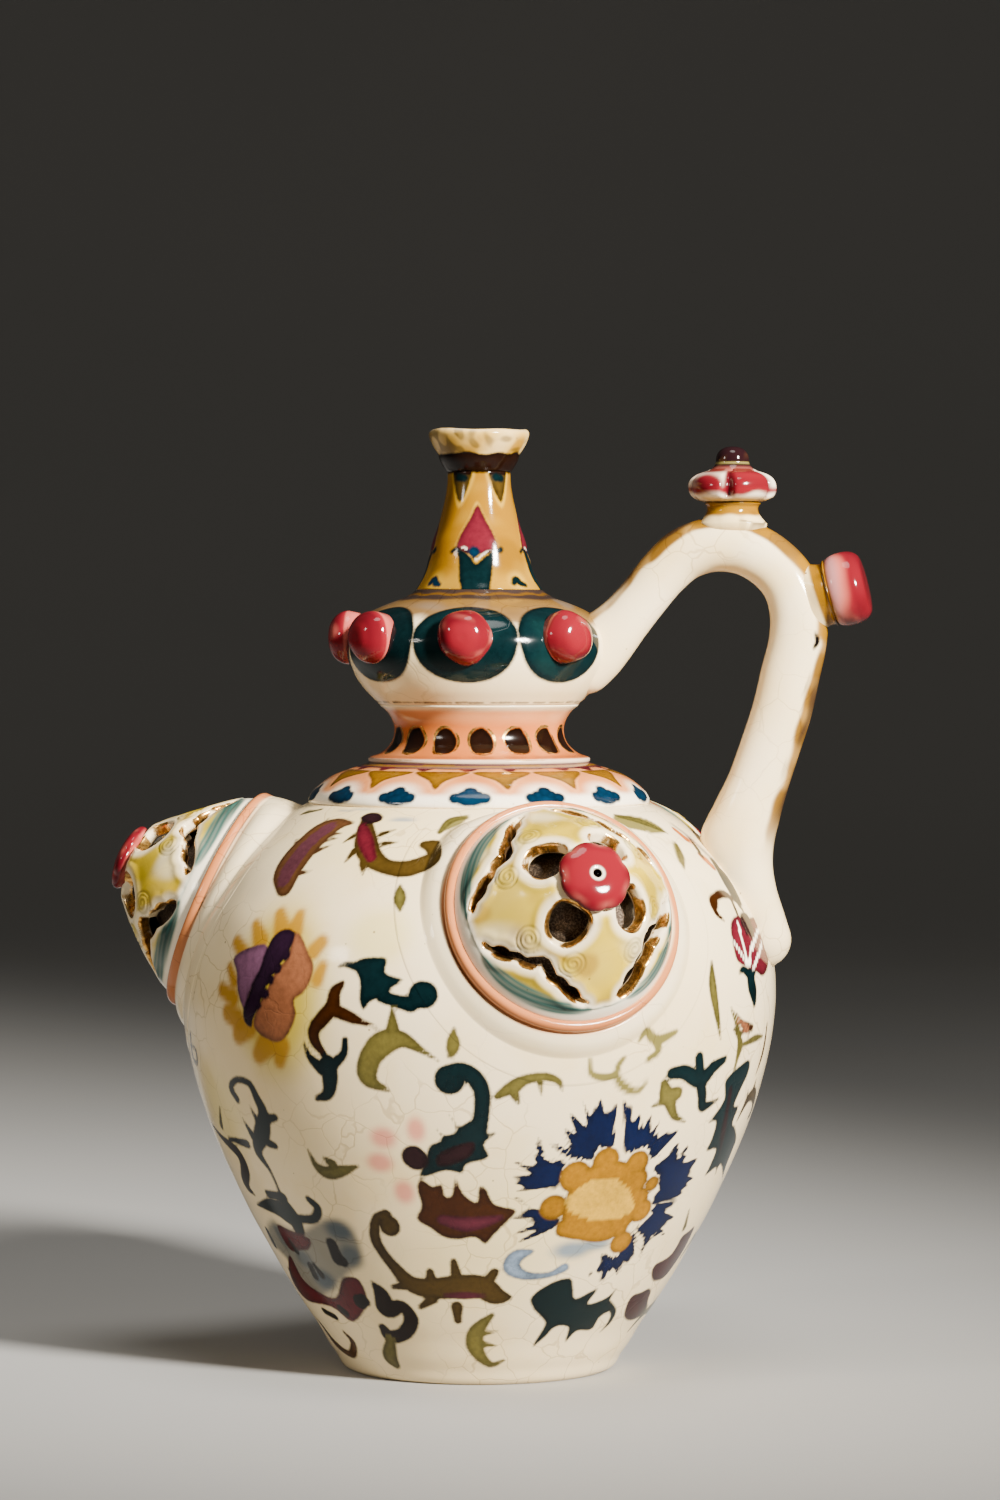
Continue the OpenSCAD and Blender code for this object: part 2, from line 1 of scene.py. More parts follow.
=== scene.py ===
"""Painted puzzle jug: the glazed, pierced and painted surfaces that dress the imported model.

Frame: origin in the middle of the foot, +Z up, handle along +X. Tables are in millimetres and degrees, meshes in
metres.
"""
import bpy
import numpy as np
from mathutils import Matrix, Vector


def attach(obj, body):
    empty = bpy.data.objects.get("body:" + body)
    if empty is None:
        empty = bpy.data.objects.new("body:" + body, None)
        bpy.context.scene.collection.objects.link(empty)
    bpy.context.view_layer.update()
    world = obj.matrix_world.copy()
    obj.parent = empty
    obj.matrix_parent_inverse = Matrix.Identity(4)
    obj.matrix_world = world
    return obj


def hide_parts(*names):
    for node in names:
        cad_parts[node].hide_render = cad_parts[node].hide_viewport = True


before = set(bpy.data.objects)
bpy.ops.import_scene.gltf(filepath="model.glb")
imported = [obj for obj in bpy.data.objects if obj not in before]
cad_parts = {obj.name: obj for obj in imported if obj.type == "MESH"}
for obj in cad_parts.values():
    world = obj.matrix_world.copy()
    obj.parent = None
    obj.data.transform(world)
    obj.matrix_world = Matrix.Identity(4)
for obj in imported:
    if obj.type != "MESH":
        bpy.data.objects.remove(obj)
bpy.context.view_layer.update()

MM = 0.001
TURN = 2 * np.pi
CLEAR = 9.0  # distance, in millimetres, that is written where no painted mark is near
SPAN = 12  # points on each span of an outline

# ---------------------------------------------------------------- glaze colours, as linear light
GLAZE = {name: np.array(value) for name, value in {
    "ivory": (0.84, 0.69, 0.44), "ivory_warm": (0.78, 0.59, 0.30), "white": (0.89, 0.80, 0.63),
    "lemon": (0.66, 0.53, 0.12), "yellow": (0.56, 0.385, 0.008), "butter": (0.42, 0.235, 0.018),
    "amber": (0.20, 0.085, 0.0004), "ochre": (0.225, 0.10, 0.0003), "ochre_deep": (0.125, 0.053, 0.0004),
    "olive": (0.078, 0.064, 0.014), "olive_pale": (0.15, 0.125, 0.034), "umber_olive": (0.034, 0.019, 0.003),
    "umber": (0.060, 0.024, 0.008), "brown": (0.024, 0.0065, 0.001), "brown_dark": (0.006, 0.002, 0.001),
    "terracotta": (0.20, 0.07, 0.03), "salmon": (0.44, 0.115, 0.020), "salmon_pale": (0.62, 0.26, 0.10),
    "pink": (0.155, 0.0065, 0.0125), "pink_pale": (0.50, 0.12, 0.09), "crimson": (0.055, 0.002, 0.005),
    "rose_deep": (0.068, 0.005, 0.010), "rose": (0.055, 0.009, 0.016), "maroon": (0.018, 0.0015, 0.003),
    "plum": (0.010, 0.003, 0.004), "plum_rose": (0.055, 0.016, 0.022), "plum_grey": (0.018, 0.011, 0.011),
    "violet": (0.012, 0.004, 0.012), "mauve": (0.135, 0.055, 0.10), "blue": (0.0004, 0.003, 0.020),
    "blue_mid": (0.0015, 0.013, 0.030), "greyblue": (0.17, 0.22, 0.27), "greyblue_line": (0.16, 0.21, 0.28),
    "slate": (0.04, 0.06, 0.075), "teal": (0.001, 0.006, 0.007), "teal_mid": (0.006, 0.030, 0.026),
    "teal_pale": (0.06, 0.14, 0.118), "black": (0.003, 0.002, 0.002), "blush": (0.64, 0.25, 0.17),
    "honey": (0.40, 0.19, 0.005), "bronze": (0.04, 0.021, 0.009)}.items()}

# ---------------------------------------------------------------- outlines, millimetres
# (radius, height) from the ground up
BODY_OUT = [(29.3, 0), (30.6, 0.8), (31.4, 2.1), (32.1, 3.4), (34, 6), (36.6, 10.3), (39.7, 14.8), (44, 21.7),
    (47.8, 28.4), (51.3, 34.7), (54.6, 41.5), (58, 48.9), (61.2, 57), (63.6, 65), (65.4, 73), (66.3, 80), (66.5, 85),
    (66.2, 90), (65, 96), (62.9, 101.8), (59.9, 107), (56.2, 112.3), (51.8, 117), (46.9, 121.2), (42.6, 124.2),
    (38.6, 126.3)]
BODY_IN = [(31, 126.3), (31, 122.3), (44, 117.5), (53, 109.5), (60, 99), (62.5, 85), (61, 70), (55, 52),
    (46, 34), (36, 17), (30, 6.6), (12, 6.6)]
FOOT_IN = [(12, 1.6), (22.5, 1.6), (23.8, 1.3), (23.8, 0.3), (24.4, 0.0)]
RING_OUT = [(38, 0), (38.2, 0.8), (37.6, 2.2), (36.6, 3.3), (34.5, 5.1), (32.2, 6.5), (29.7, 7.5), (27.2, 8.3),
    (25.4, 8.9), (24.6, 9.2)]
RING_IN = [(18, 9.2), (18, 5.7), (23.5, 4.3), (28.5, 0), (28.5, -2.5), (30.9, -2.5), (30.9, 0)]
COLLAR_OUT = [(24.6, 0), (24.9, 0.7), (24.4, 1.2), (22.6, 1.8), (21.2, 2.7), (20, 3.9), (19.3, 5.2), (19, 6.7),
    (19.1, 8.3), (19.8, 10.1), (20.9, 11.6), (22, 12.5), (22.3, 12.9)]
COLLAR_IN = [(16.2, 12.9), (16.2, 6.4), (15, 6.4), (15, -2.5), (17.9, -2.5), (17.9, 0)]
BULB_OUT = [(22.3, 0), (23.8, 1.5), (25.5, 3.3), (27.2, 5.6), (28.6, 8.1), (29.4, 10.2), (29.7, 12.4),
    (29.4, 14.8), (28.4, 17), (26.6, 19.1), (24, 20.9), (20.6, 22.4), (17.6, 23.5), (15.4, 24.6), (14.2, 25.6)]
BULB_IN = [(10, 25.6), (10, 22), (17, 19.8), (24, 16.5), (26, 12.4), (24, 7.5), (17, 3.5), (13.5, 3.2),
    (13.5, -2.5), (16.1, -2.5), (16.1, 0)]
NECK_OUT = [(14.2, 0), (12.9, 2.2), (12, 4.4), (11.4, 6.7), (10.9, 8.9), (10.3, 11.2), (9.5, 13.4), (8.8, 15.6),
    (8.2, 17.9), (7.7, 20.1), (7.3, 22.4), (7.06, 24.6), (7, 26.4)]
NECK_IN = [(5.6, 26.4), (5.6, 27.9), (4.6, 27.9), (4.6, 22), (7, 12), (7.5, 6), (7.5, -2.5), (9.9, -2.5), (9.9, 0)]
MOUTH_OUT = [(7.2, 0), (7.6, 0.5), (8.1, 1.3), (8.6, 2.2), (8.95, 3.1), (9.15, 3.9), (9.7, 4.8), (10.3, 5.8),
    (10.8, 6.9), (11.15, 8), (11.2, 8.7), (10.95, 9.25), (10.4, 9.58)]
MOUTH_IN = [(9.8, 9.5), (9.3, 9.0), (8.7, 7.9), (7.1, 7.1), (5.2, 5.2), (4.2, 4.6), (4.2, 1.6), (5.7, 1.6), (5.7, 0)]
RING_Z, COLLAR_Z, BULB_Z, NECK_Z, MOUTH_Z = 126.3, 135.5, 148.4, 174.0, 200.4
# Beads: distance of their feet from the axis, height, and degrees from one to the next
BEAD_ROOT, BEAD_Z, BEAD_STEP = 29.55, 163.4, 46.7
# Finial on the handle's top: its place, and the heights of its three parts
FINIAL_X, STEM_Z, FLOWER_Z, TIP_Z = 57.0, 189.95, 193.35, 200.75
# Knob on the handle's outer side: middle of the bend, tilt, and reach to the stem's foot
BEND_X, BEND_Z, KNOB_TILT, KNOB_REACH = 54.4, 167.1, 14, 23.1
# Bosses: name, turn round the jug, and turn of the pattern; then where a boss's middle stands (distance from the axis,
# height, tilt), and the knob's height above it
BOSSES = [("front", -63, 57), ("left", 180, 49), ("rear", 63, 53)]
BOSS_OUT, BOSS_Z, BOSS_TILT, KNOB_UP = 59.75, 104.6, 23.5, 21.03
# (radius, height above the boss's foot)
DOME_OUT = [(24.2, 0), (24.1, 1.1), (23.3, 3.1), (22, 5.2), (20.2, 7.6), (17.3, 11.4), (14.8, 14.4), (12.3, 17),
    (10.3, 19), (8.7, 20.4), (6.2, 21.15), (3.2, 21.2)]
# (radius, height) of the rolled rim and the skirt that runs out over the body
RIM_OUT = [(23.6, -0.6), (24.1, 0.15), (24.9, 0.42), (25.6, 0.2), (26.02, -0.5), (26.1, -1.3), (26.0, -2.0),
    (26.35, -2.6), (27.2, -3.2), (28.3, -4.3), (29.2, -5.9), (29.8, -7.9), (30.3, -10.6), (31.2, -15), (33.2, -21),
    (35.5, -30)]
# Handle: x, z of the middle line, then half thickness outward, half thickness inward, half width
HANDLE = [(14.0, 152.9, 6.5, 5.0, 6.0), (18.6, 156.1, 9.0, 7.0, 7.6), (22.5, 158.6, 9.8, 8.5, 7.9),
    (26.0, 160.9, 8.4, 7.9, 7.2), (29.2, 163.6, 6.9, 6.9, 6.5), (33.0, 167.6, 5.9, 6.0, 6.0),
    (37.2, 172.6, 5.5, 5.7, 5.7), (41.6, 177.9, 5.6, 5.8, 5.8), (46.6, 182.1, 5.9, 6.0, 6.0),
    (53.0, 184.0, 6.1, 6.1, 6.1), (59.6, 183.2, 6.2, 6.1, 6.2), (65.6, 179.9, 6.2, 6.1, 6.2),
    (69.8, 174.9, 6.3, 6.1, 6.2), (71.7, 168.6, 6.5, 6.3, 6.3), (71.4, 162.0, 6.5, 6.3, 6.3),
    (69.8, 155.0, 6.6, 6.4, 6.3), (67.9, 147.0, 6.7, 6.4, 6.3), (65.4, 139.0, 6.6, 6.5, 6.4),
    (62.7, 131.0, 6.8, 6.7, 6.7), (60.8, 124.5, 6.9, 8.0, 7.3), (59.6, 118.0, 6.7, 9.8, 7.5),
    (59.6, 112.0, 6.5, 8.8, 7.1), (60.7, 106.0, 6.4, 7.5, 6.6), (62.5, 100.5, 6.3, 6.8, 6.2),
    (64.0, 96.4, 6.1, 6.2, 6.0)]

# ---------------------------------------------------------------- painted ornament on the body
# Marks come in groups of one colour. A brush line is points of (turn in degrees, height, half width); a field is a
# closed outline of (turn, height); a wash is (turn, height, half width, half height, strength). The ornament is drawn
# freely after a common floral type.
BODY_STROKES = [
    ("teal", [[(-10, 113, 0.7), (-8.5, 111, 1.3), (-9, 108, 1.4), (-10, 105, 0.8)]]),
    ("slate", [[(-11, 122, 0.5), (-9.5, 119.5, 0.9), (-9, 116, 1.1), (-7.5, 114, 0.6)]]),
    ("salmon", [[(-13.5, 121, 1), (-13, 119, 1.2)], [(-14, 115.5, 1), (-12.5, 113, 1.2)]]),
    ("brown", [[(-22.5, 102, 0.5), (-24, 103.5, 0.9), (-23.5, 106, 1), (-20, 107, 1), (-16, 107, 0.9),
        (-12, 105.5, 0.7), (-11, 103, 0.5)]]),
    ("teal", [[(-15, 83, 0.5), (-15, 86, 1.1), (-16.5, 89, 1.4), (-19.5, 91, 1), (-21.5, 90.5, 0.4)]]),
    ("brown", [[(-23.5, 82, 0.3), (-20.5, 79.5, 0.8), (-15.5, 78, 0.7), (-21.5, 77.5, 0.5)]]),
    ("olive", [[(-20.5, 71.5, 0.4), (-20, 75, 0.9), (-23.5, 78.5, 0.5)],
        [(-20, 74.5, 0.5), (-13.5, 75.5, 0.9), (-8.5, 75.5, 0.4)]]),
    ("umber", [[(-123.5, 120.5, 1), (-119.5, 121, 0.15)], [(-124, 117, 1), (-120, 118.5, 0.15)],
        [(-124.5, 112.5, 0.9), (-121, 113, 0.15)], [(-132.5, 118, 0.9), (-135, 119.5, 0.15)],
        [(-129, 122.5, 0.8), (-130.5, 124, 0.15)]]),
    ("white", [[(-17, 91.5, 0.2), (-17.5, 95.5, 0.24), (-17, 101, 0.2)],
        [(-16.5, 91.5, 0.2), (-15, 94.5, 0.24), (-10.5, 97, 0.24), (-4.5, 99.5, 0.2)],
        [(-17.5, 91.5, 0.2), (-19, 94, 0.24), (-21.5, 97.5, 0.2)],
        [(-15.5, 90.5, 0.2), (-11, 93.5, 0.24), (-6.5, 96, 0.2)]]),
    ("black", [[(-121, 30.5, 1.1), (-119, 28, 1.5)], [(-131.5, 26.5, 0.6), (-130, 24, 1)],
        [(-138, 31.5, 0.6), (-137, 29, 1)], [(-117, 19.5, 1.5), (-116.5, 19, 1.5)],
        [(-129, 16.5, 1), (-127.5, 15.5, 1.2)]]),
    ("slate", [[(-121, 24, 0.2), (-125.5, 20, 0.25), (-131, 19, 0.2)]]),
    ("umber", [[(-125, 119, 1), (-119.5, 120, 0.15)]]),
    ("umber_olive", [[(-114.5, 123.5, 1.6), (-110.5, 119.5, 2.9), (-107, 116.5, 2.7), (-102.5, 114.5, 2.1),
        (-97.5, 114, 2.4), (-93.5, 115, 2.4), (-90.5, 116.5, 2.3), (-91.5, 118.5, 2.1), (-94, 119, 1.3)],
        [(-107, 121, 0.9), (-103.5, 122, 0.15)], [(-105, 119, 0.9), (-101, 119.5, 0.15)],
        [(-115, 120.5, 0.9), (-117, 119, 0.15)], [(-112, 117.5, 1.1), (-113, 115, 0.2)],
        [(-108, 115, 1.2), (-107, 112.5, 0.15)]]),
    ("rose_deep", [[(-114.5, 122.5, 1.2), (-110.5, 119.5, 1.9), (-106.5, 116, 1.2)]]),
    ("olive", [[(-148, 124.5, 0.7), (-140.5, 125.5, 0.6)],
        [(-97.5, 110.5, 0.4), (-97, 108, 1.5), (-96.5, 105.5, 0.4)]]),
    ("ochre_deep", [[(-124.5, 104, 1.6), (-122, 100, 2.7)], [(-119, 104, 1.4), (-119, 100.5, 2.3)],
        [(-130.5, 101.5, 1.3), (-127.5, 98, 2.5)], [(-135, 97.5, 1.6), (-131.5, 95, 2)],
        [(-112, 98.5, 1.7), (-113.5, 96.5, 1.9)], [(-111, 93.5, 1.3), (-112, 90.5, 1.7)],
        [(-135.5, 92, 1.2), (-133.5, 89, 1.6)], [(-137.5, 87, 1.8), (-133.5, 85.5, 2)],
        [(-135.5, 82, 2.2), (-132.5, 81, 2.6)], [(-132.5, 77.5, 2.2), (-129, 79.5, 2.6)],
        [(-127, 73.5, 2), (-124.5, 76, 3)], [(-121.5, 72.5, 1.6), (-120.5, 76, 2.4)]]),
    ("violet", [[(-119, 100, 0.4), (-121.5, 98, 3), (-123, 95, 2.9), (-124.5, 91.5, 2.1), (-126, 88.5, 2.1),
        (-127.5, 85, 2.1), (-129, 82, 1.8), (-128.5, 80, 0.6)], [(-120, 95.5, 1.4), (-120, 95.5, 1.4)],
        [(-122, 92.5, 1.2), (-121.5, 92.5, 1.2)], [(-123, 90, 1.1), (-123, 90, 1.1)],
        [(-124.5, 87, 1.1), (-124, 87, 1.1)], [(-126, 84.5, 1), (-126, 84.5, 1)]]),
    ("teal", [[(-98.5, 87.5, 1.5), (-95.5, 86.5, 1.5), (-93, 86, 1.9)], [(-91, 88, 3), (-90.5, 88, 3)],
        [(-107.5, 93.5, 0.3), (-106, 94, 0.7), (-103.5, 93.5, 1.1)]]),
    ("brown", [[(-106.5, 90, 0.7), (-108, 88, 1.5), (-108.5, 85, 1.8), (-110.5, 82.5, 1.8), (-112.5, 80, 1.6),
        (-112.5, 77.5, 1.4), (-110.5, 74.5, 0.8)],
        [(-108.5, 84.5, 1.6), (-105, 83, 1.4), (-102.5, 82, 0.8), (-99.5, 81, 0.25)]]),
    ("olive", [[(-96.5, 85, 0.4), (-96.5, 80.5, 1.6)], [(-88, 74, 0.25), (-91.5, 76.5, 0.9), (-95, 78.5, 1.9),
        (-98.5, 77.5, 2.8), (-101, 74.5, 2.6), (-102, 71, 2.4), (-101, 69, 1.5), (-98, 67.5, 0.5)],
        [(-85, 80.5, 0.3), (-85, 77.5, 1.3), (-85.5, 75, 0.5)]]),
    ("teal", [[(-115, 77, 0.3), (-114, 74, 0.9), (-111.5, 71.5, 1.6)],
        [(-106, 78, 0.8), (-106.5, 75, 1), (-109, 72.5, 1.4)],
        [(-110, 72.5, 2.3), (-110, 69, 2), (-111, 66, 1.4), (-113.5, 65, 0.7)], [(-86, 70, 3.4), (-86, 70, 3.4)],
        [(-87, 71, 2), (-84, 72, 1.9), (-81.5, 70.5, 2), (-80, 67.5, 1.9), (-80, 63, 1.8), (-80.5, 59.5, 1.9)]]),
    ("plum", [[(-94, 53, 2.75), (-93.5, 52.5, 2.75)]]),
    ("rose", [[(-89, 39, 1.2), (-84, 38, 1.9), (-79.5, 38.5, 1.5), (-75.5, 39.5, 0.7)]]),
    ("umber_olive", [[(-102, 37.5, 2.5), (-102, 37, 2.5)], [(-102.5, 39.5, 1.6), (-105, 38.5, 1.3),
        (-106.5, 34.5, 1.4), (-105.5, 31, 1.3), (-103, 27.5, 1.5), (-99.5, 24, 2.2), (-94, 23, 2.8),
        (-86.5, 23.5, 3.2), (-80, 23.5, 3.2), (-76, 21.5, 2.5), (-72, 21, 0.8)],
        [(-93.5, 27, 0.9), (-93.5, 25, 1.4)], [(-87, 29.5, 0.8), (-86.5, 26, 1.4)],
        [(-87, 15.5, 0.9), (-87, 19, 1.4)], [(-98, 18.5, 0.7), (-94, 20.5, 1.4)], [(-76.5, 27, 1.1), (-78, 25, 1.5)],
        [(-105, 23, 0.7), (-100.5, 23.5, 1.4)]]),
    ("rose", [[(-90, 21.5, 0.6), (-84.5, 21.5, 1), (-79, 21.5, 0.5)]]),
    ("brown_dark", [[(-111.5, 24, 0.25), (-109.5, 21, 2), (-109.5, 17.5, 2.4), (-104, 18.5, 1.7),
        (-102, 15.5, 1.8), (-106, 12, 1.8), (-112, 11, 1.9), (-113.5, 13, 1.2)]]),
    ("olive", [[(-112.5, 10, 1.2), (-115.5, 6, 2), (-114.5, 4, 1.1)], [(-76.5, 17, 0.6), (-81, 13.5, 1.8),
        (-82, 10, 2), (-80, 7, 1.4), (-76, 5, 0.9), (-71.5, 6, 0.4)], [(-74.5, 13, 0.2), (-80, 12.5, 1)],
        [(-74.5, 9.5, 0.2), (-79.5, 10, 1)], [(-118.5, 53.5, 0.25), (-117.5, 50, 0.9), (-115, 48.5, 1.6),
        (-111.5, 49, 1.5), (-106.5, 50.5, 0.3)], [(-115, 52, 0.3), (-113, 50.5, 1.3)], [(-77, 66.5, 0.9),
        (-74, 68.5, 1.6), (-71.5, 70, 1.2), (-68, 70.5, 1), (-65.5, 69.5, 0.8), (-64.5, 67.5, 0.3)],
        [(-74, 67.5, 1.3), (-73, 65, 0.5)], [(-69, 69.5, 0.8), (-68.5, 66.5, 0.15)]]),
    ("olive_pale", [[(-59.5, 74, 0.4), (-59, 71, 0.7), (-56.5, 70, 0.9), (-54, 70.5, 0.8), (-53.5, 72.5, 0.7),
        (-52.5, 74, 0.5)], [(-54, 70.5, 0.8), (-52, 68, 1.1), (-49, 66.5, 0.8), (-47, 68, 0.4), (-47, 69, 0.2)]]),
    ("olive", [[(-42.5, 68, 1), (-41, 65, 2.2), (-38.5, 65.5, 1.6)], [(-44.5, 63, 0.3), (-41.5, 64, 1)],
        [(-40, 63.5, 1.6), (-38, 60.5, 1), (-34.5, 59, 0.3)]]),
    ("teal", [[(-41, 70, 1.4), (-37.5, 70, 1.8), (-32.5, 68, 2), (-29, 70.5, 1.6), (-25.5, 72, 0.9)],
        [(-34, 73, 1.4), (-32.5, 68, 1.6), (-31, 64.5, 1.6), (-30, 62, 1.4), (-27, 62.5, 0.7), (-24.5, 63.5, 0.2)]]),
    ("amber", [[(-59.5, 48.5, 3.6), (-59.5, 48, 3.6)], [(-53, 51.5, 3.3), (-53, 51.5, 3.3)],
        [(-45, 50.5, 3.1), (-45, 50.5, 3.1)], [(-44, 46.5, 3.2), (-44, 46.5, 3.2)], [(-39, 45.5, 2), (-39, 45.5, 2)],
        [(-41.5, 42.5, 2.6), (-41.5, 42.5, 2.6)], [(-40, 39.5, 2.9), (-39.5, 39.5, 2.9)],
        [(-63.5, 41.5, 3.2), (-63.5, 41.5, 3.2)], [(-42.5, 32.5, 2.9), (-42.5, 32.5, 2.9)],
        [(-44.5, 35.5, 2.2), (-44.5, 35.5, 2.2)]]),
    ("greyblue_line", [[(-67.5, 31.5, 0.7), (-71, 30.5, 1.8), (-72, 28, 1.9), (-68, 26, 1.2), (-61.5, 26, 0.8),
        (-57.5, 27.5, 1.2)]]),
    ("teal", [[(-37.5, 18, 0.8), (-33, 15.5, 0.9), (-32.5, 13, 0.6), (-34.5, 11, 0.15)]]),
    ("olive", [[(-20, 38, 0.3), (-17.5, 33.5, 0.8)]]),
    ("teal", [[(-156.5, 76, 0.6), (-158.5, 70.5, 0.8), (-155, 69.5, 0.6), (-154, 72.5, 0.6), (-159, 73, 0.3)],
        [(-137, 63, 1), (-138.5, 65.5, 1), (-135.5, 67.5, 0.8), (-131.5, 67, 1), (-130, 64, 1.3), (-129, 60.5, 1.8),
        (-131, 56.5, 2.6), (-135, 52, 1.6), (-133, 47.5, 0.6), (-132.5, 42.5, 0.6), (-132, 40, 1.6), (-131, 37, 2.4),
        (-131, 34.5, 2)], [(-128, 59.5, 1.2), (-125.5, 60, 0.9)], [(-130, 54, 1.2), (-128, 53.5, 0.9)],
        [(-133, 62, 0.2), (-131.5, 58.5, 1)], [(-137, 59, 0.2), (-135, 55, 1.2)],
        [(-147.5, 53.5, 0.5), (-138.5, 53, 1.2)], [(-138.5, 42, 0.9), (-132, 41.5, 1.5)],
        [(-148, 38.5, 0.3), (-138, 39, 2.2), (-133, 37.5, 2.6)],
        [(-129.5, 37, 1.2), (-123.5, 37.5, 1.2), (-121, 40, 1.2), (-123, 42, 0.9)]]),
    ("black", [[(-120.5, 32, 1.6), (-120.5, 28.5, 1.8)], [(-133.5, 26, 1), (-133.5, 23.5, 1.1)],
        [(-118.5, 19, 1.8), (-118.5, 18.5, 1.8)], [(-140, 15, 1), (-134.5, 14, 1)],
        [(-150, 23.5, 0.7), (-152, 20, 0.8)], [(-150.5, 32.5, 0.9), (-151.5, 29, 1)]]),
    ("brown_dark", [[(-159.5, 55.5, 0.5), (-152.5, 53, 1), (-145.5, 50.5, 1.8), (-145, 47, 2), (-149.5, 43, 1.6),
        (-146.5, 41, 0.5)]]),
    ("olive", [[(-146.5, 60.5, 0.3), (-149.5, 56, 1)]]),
    ("umber", [[(-154.5, 11.5, 0.5), (-149, 7, 1.2), (-139, 5, 1.2), (-132.5, 8, 1), (-135, 10.5, 0.5)]]),
    ("olive", [[(-35, 124.5, 0.7), (-27, 123, 1.2), (-20.5, 120.5, 0.4)],
        [(-21, 118.5, 0.3), (-24.5, 115.5, 0.9), (-27, 113, 0.3)],
        [(-91, 121.5, 0.6), (-88.5, 124, 1), (-84, 124.5, 0.5)],
        [(-85, 81, 0.4), (-85.5, 78, 1.2), (-86, 75, 0.5)]]),
    ("teal", [[(-10, 119, 0.3), (-12, 117, 0.9), (-13.5, 115.5, 0.4)],
        [(-9, 114, 1.2), (-11, 109, 2), (-11.5, 104.5, 0.9)]]),
    ("brown", [[(-23, 105, 0.9), (-19.5, 107.5, 0.7), (-14.5, 107, 0.7), (-15, 103.5, 0.6), (-16, 100.5, 0.4)]]),
    ("teal", [[(-13, 93, 1.4), (-17, 88.5, 1.8), (-15.5, 83, 0.6)]]),
    ("olive", [[(-30.5, 93.5, 0.4), (-31, 88.5, 1.4), (-30, 83, 1.1), (-28, 76.5, 0.3)],
        [(-25, 83, 0.4), (-21, 76, 0.9), (-21, 67.5, 0.4)]]),
    ("terracotta", [[(-22.5, 80.5, 0.3), (-19, 78.5, 1), (-17, 76.5, 0.2)]]),
    ("olive_pale", [[(-49.5, 77.5, 0.3), (-48, 79.5, 1), (-45.5, 77.5, 1.2), (-41, 79, 0.6)],
        [(-45.5, 77.5, 1.2), (-45, 75, 0.9), (-47, 73.5, 0.7)]]),
    ("brown", [[(-6, 78, 0.5), (-6, 72, 0.9), (-8, 67, 0.3)]]),
]
